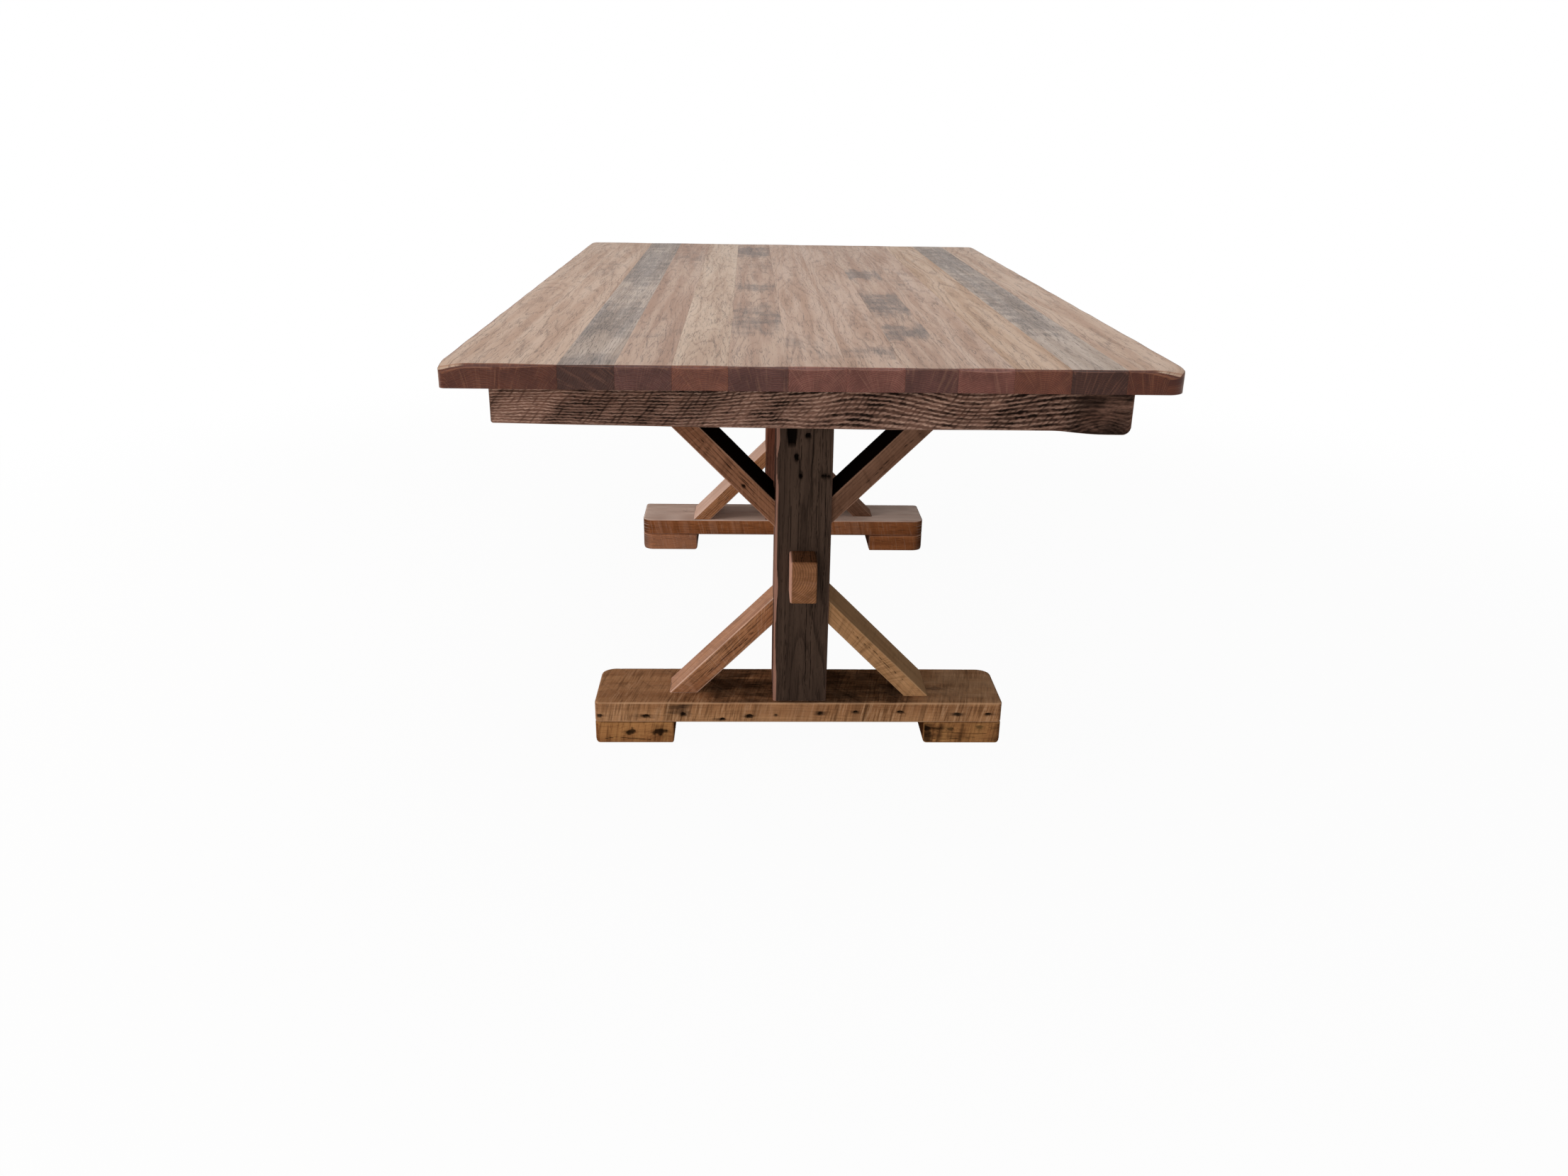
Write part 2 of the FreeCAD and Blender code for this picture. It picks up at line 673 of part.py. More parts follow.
def post():
    """The post, with a tenon at each end and mortises for the braces and the stretcher."""
    solid = block(about(0, POST_WIDTH), about(0, POST_DEPTH), (foot_top, bearer_underside))
    solid = solid.makeChamfer(POST_EASED_EDGE, straight_edges(solid.Edges, AXIS_Z))
    tenons = [
        post_tenon((foot_top - POST_TENON_LENGTH, foot_top), 0),
        post_tenon((bearer_underside, bearer_underside + POST_TENON_LENGTH), 0),
    ]
    solid = solid.fuse(tenons).removeSplitter()
    stubs = lower_brace_stubs(GLUE_LINE, MORTISE_RELIEF) + upper_brace_stubs(GLUE_LINE, MORTISE_RELIEF)
    mortises = [into_post for into_post, into_level in stubs]
    return solid.cut(mortises + [stretcher_mortise(), peg()])


def stretcher():
    """The stretcher, shouldered above and below, with a tenon through each post, chamfered round its tip."""
    inner = TRESTLE_SPACING / 2 - post_half_depth
    outer = TRESTLE_SPACING / 2 + post_half_depth + TENON_PROTRUSION
    width = about(0, STRETCHER_THICKNESS)
    body = block(width, (-inner, inner), about(STRETCHER_CENTRE_HEIGHT, STRETCHER_HEIGHT))
    body = body.makeChamfer(STRETCHER_EASED_EDGE, straight_edges(body.Edges, AXIS_Y))
    rail = block(width, (-outer, outer), about(STRETCHER_CENTRE_HEIGHT, TENON_HEIGHT))
    ends = [edge for edge in rail.Edges if abs(abs(edge.CenterOfMass.y) - outer) < TINY]
    rail = rail.makeChamfer(TENON_CHAMFER, ends)
    holes = [moved_to_end(peg(), end) for end in ("front", "rear")]
    return body.fuse(rail).removeSplitter().cut(holes)


# Placing


def mirrored(shape):
    """The same shape on the other side of the table's length."""
    return shape.mirror(ORIGIN, AXIS_X)


def both_sides(shapes):
    """Shapes for the right side, and the same on the left."""
    return shapes + [mirrored(shape) for shape in shapes]


def turned(shape):
    """The same shape turned half round, as it stands at the other end."""
    copy = shape.copy()
    copy.rotate(ORIGIN, AXIS_Z, 180)
    return copy


def moved_to_end(shape, end):
    """A trestle piece, modelled at the origin, in its place at the front or rear end."""
    copy = shape.copy() if end == "front" else turned(shape)
    copy.translate(AXIS_Y * (TRESTLE_SPACING / 2 * (-1 if end == "front" else 1)))
    return copy


def both_ends(shapes):
    """Trestle pieces at both ends of the table."""
    return [moved_to_end(shape, end) for end in ("front", "rear") for shape in shapes]


def button_runs():
    """The wooden buttons: turn from the rear wall, place along the wall and place of the wall."""
    runs = []
    for turn in (0, 180):
        runs += [(turn, 2 * inner_half_width * share, inner_half_length) for share in END_BUTTON_SHARES]
    for turn in (90, -90):
        runs += [(turn, bearer_spacing * share, inner_half_width) for share in SIDE_BUTTON_SHARES]
    return runs


def along_walls(make):
    """One shape for each button, made against the rear wall and turned to its own."""
    shapes = []
    for turn, centre, wall in button_runs():
        shape = make(centre, wall)
        shape.rotate(ORIGIN, AXIS_Z, turn)
        shapes.append(shape)
    return shapes


def trestle_pieces():
    """The pieces of one trestle by name, with those on its right side and left side named apart."""
    pieces = {"post": post(), "foot": foot(), "bearer": bearer()}
    sided = {"pad": both_sides([pad()]), "lower_brace": lower_braces(), "upper_brace": upper_braces()}
    for name, shapes in sided.items():
        for side, shape in zip(("right", "left"), shapes):
            pieces[f"{side}_{name}"] = shape
    return pieces


def placed_name(name, end):
    """The name of a trestle piece: turned half round, its right side is the table's left."""
    if end == "front":
        return f"{end}_{name}"
    swapped = {"right": "left", "left": "right"}
    side, _, rest = name.partition("_")
    return f"{end}_{swapped[side]}_{rest}" if side in swapped else f"{end}_{name}"


def table_pieces():
    """Every piece of the table by name. A list is a group of separate solids."""
    pieces = {}
    for name, shape in trestle_pieces().items():
        for end in ("front", "rear"):
            pieces[placed_name(name, end)] = moved_to_end(shape, end)
    pieces["stretcher"] = stretcher()
    pieces["stretcher_pegs"] = both_ends([peg()])
    pieces["pad_screws"] = both_ends(both_sides(pad_screws()))
    pieces["top_screws"] = both_ends(both_sides(top_screws()))
    pieces["top_screw_washers"] = both_ends(both_sides(top_washers()))

    button_screws = along_walls(button_screw)
    button_holes = along_walls(button_screw_hole)
    slots = along_walls(button_slot)
    pieces["top_buttons"] = [one.cut(button_screws) for one in along_walls(button)]
    pieces["button_screws"] = button_screws

    corner_tools = both_sides(corner_screw_holes())
    end_front = end_apron()
    side_right = side_apron()
    pieces["front_apron"] = end_front.cut(slots + corner_tools)
    pieces["rear_apron"] = turned(end_front).cut(slots + [turned(tool) for tool in corner_tools])
    side_tools = slots + corner_tools + [turned(tool) for tool in corner_tools]
    pieces["right_apron"] = side_right.cut(side_tools)
    pieces["left_apron"] = mirrored(side_right).cut(side_tools)
    right_block = corner_block()
    pieces["front_right_corner_block"] = right_block
    pieces["front_left_corner_block"] = mirrored(right_block)
    pieces["rear_left_corner_block"] = turned(right_block)
    pieces["rear_right_corner_block"] = turned(mirrored(right_block))
    front_corner_screws = both_sides(corner_screws())
    pieces["corner_block_screws"] = front_corner_screws + [turned(one) for one in front_corner_screws]

    top_holes = both_ends(both_sides(top_screw_holes())) + button_holes
    for number, board in enumerate(top_boards(top_holes), start=1):
        pieces[f"top_board_{number:02d}"] = board
    pieces["edge_splines"] = [edge_spline(x) for x in joint_places()]
    return pieces


def write_pieces(folder):
    """Writes each piece to its own STEP file."""
    os.makedirs(folder, exist_ok=True)
    for name, shape in table_pieces().items():
        whole = Part.makeCompound(shape) if isinstance(shape, list) else shape
        solids = whole.Solids
        if not whole.isValid() or not solids:
            raise ValueError(f"{name} is not a valid solid")
        print(f"{name}: {len(solids)} solid, {whole.Volume / 1e3:.1f} cm3")
        whole.exportStep(os.path.join(folder, f"{name}.step"))


write_pieces("parts")
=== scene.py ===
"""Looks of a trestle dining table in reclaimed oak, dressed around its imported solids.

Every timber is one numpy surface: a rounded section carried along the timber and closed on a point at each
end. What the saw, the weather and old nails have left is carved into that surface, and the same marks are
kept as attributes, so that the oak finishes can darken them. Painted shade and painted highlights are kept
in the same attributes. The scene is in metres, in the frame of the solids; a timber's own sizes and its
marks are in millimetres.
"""
import itertools
import logging
import math
from dataclasses import dataclass
from enum import Enum
from typing import Any, Callable, ClassVar, Optional, Protocol, Sequence

import bpy
import numpy as np
from mathutils import Matrix, Vector


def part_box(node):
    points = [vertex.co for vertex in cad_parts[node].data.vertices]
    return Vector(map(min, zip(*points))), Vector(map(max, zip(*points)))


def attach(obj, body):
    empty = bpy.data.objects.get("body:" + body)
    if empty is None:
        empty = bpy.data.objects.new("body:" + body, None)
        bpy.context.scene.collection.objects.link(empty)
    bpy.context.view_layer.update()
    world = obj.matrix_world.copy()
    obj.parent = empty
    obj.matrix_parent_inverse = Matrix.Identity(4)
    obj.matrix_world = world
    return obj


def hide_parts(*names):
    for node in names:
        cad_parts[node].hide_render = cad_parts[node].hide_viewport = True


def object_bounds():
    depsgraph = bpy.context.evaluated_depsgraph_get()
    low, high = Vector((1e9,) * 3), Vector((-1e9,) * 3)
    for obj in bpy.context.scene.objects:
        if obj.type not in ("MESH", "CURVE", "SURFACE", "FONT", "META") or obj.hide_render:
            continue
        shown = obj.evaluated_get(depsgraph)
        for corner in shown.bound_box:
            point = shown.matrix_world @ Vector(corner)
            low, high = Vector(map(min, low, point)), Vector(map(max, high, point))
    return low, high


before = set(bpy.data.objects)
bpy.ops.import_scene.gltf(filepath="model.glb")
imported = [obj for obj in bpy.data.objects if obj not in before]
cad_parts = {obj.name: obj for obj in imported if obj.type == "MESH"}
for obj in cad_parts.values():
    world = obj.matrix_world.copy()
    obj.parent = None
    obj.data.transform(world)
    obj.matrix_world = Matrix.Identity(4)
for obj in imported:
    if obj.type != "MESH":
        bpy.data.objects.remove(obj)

Array = np.ndarray
Socket = bpy.types.NodeSocket
Point = tuple[float, float, float]
Table = tuple[tuple[float, ...], ...]

MM = 0.001
LOG = logging.getLogger("trestle_table")
CAD_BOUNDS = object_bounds()
BODY = "root"
TRESTLE_SLOT = "trestle_oak"
AXIS_X, AXIS_Y, AXIS_Z = np.eye(3)
# A place beyond the end of any timber
FAR = 9000

# Rows that round a timber's rim, and points inside each quarter circle of a section's corner
RIM_ROWS = 4
CORNER_POINTS = 2
# Size of the even core of an end, as a share of the section
CORE_SHARE = 0.85
# Distance of the two rows that make a sharp shoulder from it
SHOULDER_NUDGE = 0.05
# The least look at which a point begins to belong to a face, and how much more makes it belong in full
LEAST_LOOK = 0.55
LOOK_FADE = 0.35

# The setting that a node's mode goes to
MODES = {"Math": "operation", "VectorMath": "operation", "MapRange": "interpolation_type"}


def linear(colour: str) -> tuple[float, float, float, float]:
    """Turns an sRGB hex colour into linear light.

    Args:
        colour: a hash sign and six hex digits.

    Returns:
        Linear red, green and blue, and an alpha of 1.
    """
    shares = [int(colour[place:place + 2], 16) / 255 for place in (1, 3, 5)]
    light = [share / 12.92 if share <= 0.04045 else ((share + 0.055) / 1.055) ** 2.4 for share in shares]
    return (*light, 1.0)


def rolling(seed: int, *fields: Array) -> Array:
    """Smooth random hills over one to three fields, one unit apart.

    Each corner of a unit lattice gets a hashed value, and a point blends the values of its cell's corners by
    smooth steps.

    Args:
        seed: picks the hills.
        fields: arrays of one shape, one for each direction.

    Returns:
        Heights from -1 to 1.
    """
    cells = [np.floor(field).astype(np.int64) for field in fields]
    blends = [smooth(0, 1, field - cell) for field, cell in zip(fields, cells)]
    total = np.zeros(fields[0].shape)
    # Large multipliers scatter the bits of a corner's number
    for corner in itertools.product((0, 1), repeat=len(fields)):
        key = np.full(total.shape, 7919 * seed + 101, np.int64)
        weight = np.ones(total.shape)
        for cell, blend, side in zip(cells, blends, corner):
            key = (key * 1103515245 + (cell + side) * 12820163 + 12345) & 0x7FFFFFFF
            key = key ^ (key >> 11)
            weight = weight * (blend if side else 1 - blend)
        key = (key * 2654435) & 0x7FFFFFFF
        total += weight * (((key >> 7) & 0xFFFF) / 0xFFFF)
    return 2 * total - 1


def smooth(low: float, high: float, values: Array) -> Array:
    """A smooth step from 0 at low to 1 at high; it falls where high is below low."""
    share = np.clip((values - low) / (high - low), 0, 1)
    return share * share * (3 - 2 * share)


def corners_of(node: str) -> Array:
    """Lowest and highest corner of a solid's box, as rows."""
    return np.array(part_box(node))


class Face(Enum):
    """A side of a timber: an axis of its own frame (0 along, 1 across, 2 through) and a direction."""

    START = (0, -1)
    END = (0, 1)
    LEFT = (1, -1)
    RIGHT = (1, 1)
    BELOW = (2, -1)
    ABOVE = (2, 1)


START, END, LEFT, RIGHT, BELOW, ABOVE = Face
SIDES = (LEFT, RIGHT, BELOW, ABOVE)


@dataclass(frozen=True)
class Seat:
    """Where a timber lies: its middle, and its own directions (along, across, through) as rows."""

    middle: Array
    axes: Array

    @classmethod
    def facing(cls, middle: Array, along: Array, across: Array) -> "Seat":
        """A seat from its middle and two of its directions; the third is square to both."""
        return cls(middle, np.array([along, across, np.cross(along, across)]))

    @classmethod
    def of_node(cls, node: str, along: Array, across: Array) -> tuple["Seat", Array]:
        """The seat that fills a solid's box.

        Args:
            node: name of the solid.
            along: direction of the timber's length.
            across: direction of its width.

        Returns:
            The seat, and the length, width and thickness in metres.
        """
        low, high = corners_of(node)
        seat = cls.facing((low + high) / 2, along, across)
        return seat, np.abs(seat.axes @ (high - low))


@dataclass
class Skin:
    """A timber's surface in its own frame, in millimetres: a grid of rows along it and points round it."""

    half: Array
    base: Array
    normal: Array
    grain: Array
    depth: Array
    marks: dict[str, Array]

    def facing(self, *faces: Face, least: float = LEAST_LOOK) -> Array:
        """How squarely each point looks out of any of the faces, from 0 at the least look to 1."""
        outward = [self.normal[..., face.value[0]] * face.value[1] for face in faces]
        return smooth(least, least + LOOK_FADE, np.max(outward, axis=0))

    def spot(self, face: Face) -> tuple[Array, Array, Array]:
        """Each point's places along a face's two axes, and how squarely it looks out of the face."""
        first, second = [axis for axis in range(3) if axis != face.value[0]]
        return self.base[..., first], self.base[..., second], self.facing(face)

    def inset(self, face: Face) -> Array:
        """How far each point lies in from the plane of a face."""
        axis, sign = face.value
        return self.half[axis] - sign * self.base[..., axis]

    def note(self, mark: str, amount: Array) -> None:
        """Keeps the stronger of a mark and what was there already."""
        self.marks[mark] = np.maximum(self.marks[mark], amount)


class Mark(Protocol):
    """Something done to a timber's surface."""

    def carve(self, skin: Skin) -> None:
        """Changes the surface in place."""


@dataclass(frozen=True)
class Hollows:
    """Slow unevenness of worn faces: hills of noise, longer along the grain than across it."""

    faces: tuple[Face, ...]
    depth: float
    length: float
    width: float
    seed: int

    def carve(self, skin: Skin) -> None:
        """Lowers the faces by up to the depth, by hills over all three coordinates."""
        hills = rolling(self.seed, *np.moveaxis(skin.base / (self.length, self.width, self.width), -1, 0))
        skin.depth += self.depth * (0.5 + 0.5 * hills) * skin.facing(*self.faces)


@dataclass(frozen=True)
class SawKerfs:
    """Scores of the saw across a face, leaning by a slant and deeper in some blocks than in others."""

    face: Face
    spacing: float
    depth: float
    slant: float
    tone: float
    seed: int

    def carve(self, skin: Skin) -> None:
        """Cuts hills along the leaning path (along + slant x across) / spacing, swelled by slow blocks.

        Args:
            skin: the surface.
        """
        along, across, looks = skin.spot(self.face)
        path = (along + self.slant * across) / self.spacing
        score = smooth(-0.1, 0.8, rolling(self.seed, path, across / (30 * self.spacing)))
        block = smooth(-0.6, 0.6, rolling(self.seed + 1, path / 6, across / (9 * self.spacing)))
        skin.depth += self.depth * score * block * looks
        skin.note("cut", self.tone * score * block * looks)
        ridge = (1 - score) * smooth(-0.1, 0.8, rolling(self.seed + 2, path / 5))
        skin.note("worn_and_highlight", 0.4 * self.tone * ridge * looks)


@dataclass(frozen=True)
class Check:
    """A drying crack: a V that wanders along the grain and thins out at both ends."""

    face: Face
    start: float
    end: float
    across: float
    width: float
    depth: float
    wander: float
    seed: int

    def carve(self, skin: Skin) -> None:
        """Lowers points near the wandering middle line, in proportion to their nearness.

        Args:
            skin: the surface.
        """
        along, across, looks = skin.spot(self.face)
        share = np.clip((along - self.start) / (self.end - self.start), 0, 1)
        thin = np.sqrt(4 * share * (1 - share))
        middle = self.across + self.wander * rolling(self.seed, along / 34)
        half = self.width / 2 * thin * (0.75 + 0.25 * rolling(self.seed + 1, along / 9))
        gap = np.clip(1 - np.abs(across - middle) / np.maximum(half, 0.001), 0, 1) * looks
        skin.depth += self.depth * thin * np.sqrt(gap)
        skin.note("cut", np.clip(1.7 * gap, 0, 1))


@dataclass(frozen=True)
class NailHole:
    """An old nail hole with the dark halo that the iron left along the grain."""

    face: Face
    along: float
    across: float
    radius: float
    depth: float
    halo: float
    stretch: float = 1.0
    square: bool = False

    def carve(self, skin: Skin) -> None:
        """Sinks a cone inside the radius and stains an ellipse of three radii by two round it.

        The stretch draws the hole out along the grain, and hills make its outline uneven.

        Args:
            skin: the surface.
        """
        along, across, looks = skin.spot(self.face)
        uneven = 1 + 0.25 * rolling(29, along / 3.5, across / 3.5)
        ahead = np.abs(along - self.along) / (self.radius * self.stretch) * uneven
        aside = np.abs(across - self.across) / self.radius * uneven
        away = np.maximum(ahead, aside) if self.square else np.hypot(ahead, aside)
        skin.depth += self.depth * smooth(1.3, 0.4, away) * looks
        skin.note("cut", smooth(1.6, 0.8, away) * looks)
        skin.note("stain_and_shade", self.halo * np.exp(-((ahead / 3.6) ** 2) - (aside / 2) ** 2) * looks)


@dataclass(frozen=True)
class OldMortise:
    """A long slot cut for some earlier joint, tapering to its lower end."""

    face: Face
    along: tuple[float, float]
    across: tuple[float, float]
    depth: float

    def carve(self, skin: Skin) -> None:
        """Sinks the points inside the slot; its width closes over the first third of its length.

        Args:
            skin: the surface.
        """
        along, across, looks = skin.spot(self.face)
        low, high = self.along
        taper = 0.7 + 0.3 * smooth(0, 0.34, (along - low) / (high - low))
        half = (self.across[1] - self.across[0]) / 2 * taper
        inside = smooth(1.2, -0.6, np.abs(across - sum(self.across) / 2) - half)
        inside *= smooth(0, 2.5, along - low) * smooth(0, 2.5, high - along) * looks
        skin.depth += self.depth * inside
        skin.note("cut", inside)


@dataclass(frozen=True)
class Knot:
    """A knot: the rings bulge round its heart, which is dark and a little sunk."""

    face: Face
    along: float
    across: float
    radius: float
    bulge: float
    dark: float = 0.9

    def carve(self, skin: Skin) -> None:
        """Adds a bell-shaped bulge to the ring coordinates, so that the rings close round the heart.

        Args:
            skin: the surface.
        """
        along, across, looks = skin.spot(self.face)
        ahead, aside = (along - self.along) / self.radius, (across - self.across) / self.radius
        axis, sign = self.face.value
        skin.grain[..., axis] += sign * self.bulge * np.exp(-((ahead / 3.2) ** 2) - (aside / 2.2) ** 2)
        uneven = 1 + 0.45 * rolling(31, along / (0.8 * self.radius), across / (0.6 * self.radius))
        heart = smooth(1.15, 0.7, np.hypot(ahead / 1.5, aside) * uneven) * looks
        skin.depth += 0.15 * self.radius * heart
        skin.note("cut", self.dark * heart)
        skin.note("stain_and_shade", 0.75 * np.exp(-((ahead / 3) ** 2) - (aside / 1.9) ** 2) * looks)


@dataclass(frozen=True)
class WeatheredGrain:
    """Soft rings worn out of a face: deep wandering grooves along the grain, crossed by leaning saw cuts.

    The spacing is pairs of a place along the timber and the distance between grooves there. A bump is its
    place along and across, the fall of the lines there, its half length and its half height. Beyond the calm
    place the face is smoother, and towards the start of the timber the grooves are faint.
    """

    face: Face
    calm: float
    spacing: Table
    depth: float
    sway: float
    bumps: Table
    seed: int
    faint: float = 1.0
    lean: float = 0.75
    cuts: float = 8.5

    def carve(self, skin: Skin) -> None:
        """Cuts the level lines of (across + slow sway + bell-shaped bumps) / spacing, then the leaning cuts.

        A groove follows each whole number of that field and comes and goes along its length. The cuts follow
        whole numbers of (along - lean x across) / cuts, jittered, are shallower, and shift the grooves a
        little. Bands about three cuts wide are darker or paler. The lowest few millimetres are smoother.

        Args:
            skin: the surface.
        """
        along, across, looks = skin.spot(self.face)
        seed = self.seed
        path = (along - self.lean * across) / self.cuts + 0.6 * rolling(seed + 3, along / 31, across / 45)
        field = across + self.sway * rolling(seed, along / 210, across / 110)
        field += 0.25 * self.sway * rolling(seed + 1, along / 52, across / 22)
        for place, height, fall, length, rise in self.bumps:
            field += fall * np.exp(-(((along - place) / length) ** 2) - ((across - height) / rise) ** 2)
        step = path - np.floor(path) - 0.5
        lines = (field - step) / np.interp(along, *zip(*self.spacing))
        lines += 0.13 * rolling(seed + 6, along / 7, across / 3)
        near = np.abs(lines - np.round(lines))
        rough = 1 - 0.45 * smooth(self.calm, self.calm + 45, along)
        ebb = 0.7 + 0.4 * rolling(seed + 2, along / 11, np.round(lines) * 7.3)
        band = rolling(seed + 8, path / 3.1, across / 70)
        strong = self.faint + (1 - self.faint) * smooth(-350, 150, along)
        groove = smooth(0.39, 0.13, near) * ebb * rough * strong * (0.95 - 0.25 * band)
        strength = smooth(-0.5, 0.6, rolling(seed + 4, np.floor(path + 0.5) * 3.7, across / 9))
        cut = smooth(0.36, 0.02, np.abs(path - np.round(path))) * strength * rough
        tufts = 0.5 + 0.5 * rolling(seed + 5, along / 3.5, field / 1.8)
        patch = 0.5 + 0.5 * rolling(seed + 7, along / 60, across / 25)
        edge = smooth(0, 7, across - across.min(axis=1, keepdims=True))
        dark = np.maximum(groove, 0.62 * cut) + 0.25 * groove * cut
        dark += 0.4 * (tufts - 0.45) + 0.16 * (patch - 0.4) - (0.36 * band + 0.05) * rough
        skin.depth += (self.depth * np.maximum(groove, 0.5 * cut) + 0.25 * tufts) * looks
        skin.note("cut", np.clip(dark, 0, 1) * (0.45 + 0.55 * edge) * looks)
        ridge = smooth(0.22, 0.4, near) * (1 - cut) * (2 * rough - 1)
        skin.note("worn_and_highlight", ridge * (0.15 + 0.85 * tufts) * (1 - 0.5 * patch) * (0.8 + 0.5 * band) * looks)


@dataclass(frozen=True)
class WornArris:
    """A rubbed edge between two faces: both draw back to a bevel whose width wanders along the edge."""

    back: Face
    top: Face
    width: Callable[[Skin], Array]
    slope: float = 0.6
    rub: float = 0.0

    def carve(self, skin: Skin) -> None:
        """Moves each point that lies outside the bevel's plane back onto it, half from each face.

        Args:
            skin: the surface.
        """
        width = self.width(skin)
        over = np.clip(1 - skin.inset(self.back) / width - skin.inset(self.top) / (width * self.slope), 0, 1)
        skin.base[..., self.back.value[0]] -= self.back.value[1] * over * width / 2
        skin.base[..., self.top.value[0]] -= self.top.value[1] * over * width * self.slope / 2
        skin.note("end", smooth(0.0, 0.12, over))
        skin.note("worn_and_highlight", smooth(0.0, 0.1, over) * np.maximum(0.7 * smooth(0.55, 0.25, over), self.rub))


@dataclass(frozen=True)
class RubbedEdgesAndHighlights:
    """Long edges painted pale in patches: rubbed by hands and feet, and painted highlights where the rounded
    edges catch the light.
    """

    strength: float
    seed: int

    def carve(self, skin: Skin) -> None:
        """Notes wear and painted highlight where the normal turns from one face to the next, swelled by hills
        along the timber.
        """
        patch = 0.68 + 0.32 * rolling(self.seed, skin.base[..., 0] / 45, np.sign(skin.base[..., 1]) * 3.7)
        skin.note("worn_and_highlight", self.strength * smooth(0.985, 0.83, np.max(np.abs(skin.normal), axis=-1)) * patch)


@dataclass(frozen=True)
class FaceTone:
    """A face darkened or paled between two places along the timber by the mark it notes: painted shade and
    painted light, as well as old skin and wear.
    """

    face: Face
    mark: str
    strength: float
    start: float = -FAR
    end: float = FAR
    fade: float = 60
    ragged: float = 0.0
    least: float = LEAST_LOOK

    def carve(self, skin: Skin) -> None:
        """Notes the mark over the face, fading beyond the two places and broken by hills where it is ragged.

        Args:
            skin: the surface.
        """
        along, across, _ = skin.spot(self.face)
        inside = smooth(self.start - self.fade, self.start, along)
        inside *= smooth(self.end + self.fade, self.end, along)
        inside *= 1 - self.ragged * (0.5 - 0.5 * rolling(17, along / 42, across / 14))
        skin.note(self.mark, self.strength * inside * skin.facing(self.face, least=self.least))


@dataclass(frozen=True)
class Stain:
    """A stretch of a face darkened by iron, smoke and water, and on the aprons by painted shadow."""

    face: Face
    along: float
    half_along: float
    across: float
    half_across: float
    strength: float
    mark: str = "stain_and_shade"

    def carve(self, skin: Skin) -> None:
        """Notes a bell with a flat top, exp(-ahead^4 - aside^4) in half lengths and half widths.

        Hills across the grain shift it along, so that it ends in fingers.

        Args:
            skin: the surface.
        """
        along, across, looks = skin.spot(self.face)
        fingers = min(0.4 * self.half_along, 45) * rolling(37, across / 11, along / 160)
        ahead = (along - self.along + fingers) / self.half_along
        aside = (across - self.across) / self.half_across
        skin.note(self.mark, self.strength * np.exp(-(ahead**4) - aside**4) * looks)


@dataclass(frozen=True)
class RoundedCorner:
    """A corner of the outline rounded to a quarter circle, between one end and one side."""

    end: Face
    side: Face
    radius: float

    def carve(self, skin: Skin) -> None:
        """Draws the side in by radius - sqrt(radius^2 - (radius - inset)^2), fading to the other side.

        Args:
            skin: the surface.
        """
        axis, sign = self.side.value
        left = np.clip(self.radius - skin.inset(self.end), 0, self.radius)
        share = np.clip(0.5 + 0.5 * sign * skin.base[..., axis] / skin.half[axis], 0, 1)
        skin.base[..., axis] -= sign * (self.radius - np.sqrt(self.radius**2 - left**2)) * share
        skin.note("end", smooth(0.1, 0.8, left / self.radius) * skin.facing(self.side))


@dataclass(frozen=True)
class WornCorner:
    """A corner of the top that hands and hips have rounded down towards its tip."""

    end: Face
    side: Face
    reach: float
    drop: float

    def carve(self, skin: Skin) -> None:
        """Lowers points by drop x (1 - distance from the tip / reach)^2, in proportion to their height.

        The table's surface keeps its own colour there, down to the rubbed arris.

        Args:
            skin: the surface.
        """
        away = np.hypot(skin.inset(self.end), skin.inset(self.side))
        slope = np.clip(1 - away / self.reach, 0, 1) ** 2
        skin.base[..., 2] += self.drop * slope * skin.inset(ABOVE) / (2 * skin.half[2])
        skin.marks["end"] *= 1 - smooth(0.0, 0.15, slope) * skin.facing(BELOW)


@dataclass(frozen=True)
class MitredEnds:
    """Ends cut at 45 degrees, so that the upper side is the longer one."""

    def carve(self, skin: Skin) -> None:
        """Stretches each row's place along by 1 + through / half length."""
        skin.base[..., 0] *= 1 + skin.base[..., 2] / skin.half[0]


@dataclass(frozen=True)
class TenonEnds:
    """Both ends cut down to a tenon beyond the shoulders."""

    shoulder: float
    share: float

    def carve(self, skin: Skin) -> None:
        """Scales the height of every row beyond the shoulder."""
        skin.base[..., 2] *= np.where(np.abs(skin.base[..., 0]) > self.shoulder, self.share, 1)


@dataclass(frozen=True)
class WavyEdge:
    """A natural lower edge: the height below the upper edge follows shares at places along the timber."""

    shares: Table

    def carve(self, skin: Skin) -> None:
        """Scales each point's distance from the upper edge by the share at its place, smoothly interpolated.

        Args:
            skin: the surface.
        """
        along = skin.base[..., 0] / (2 * skin.half[0])
        nudges = np.linspace(-0.012, 0.012, 7)
        reach = sum(np.interp(along + nudge, *zip(*self.shares)) for nudge in nudges) / len(nudges)
        skin.base[..., 1] = skin.half[1] - (skin.half[1] - skin.base[..., 1]) * reach


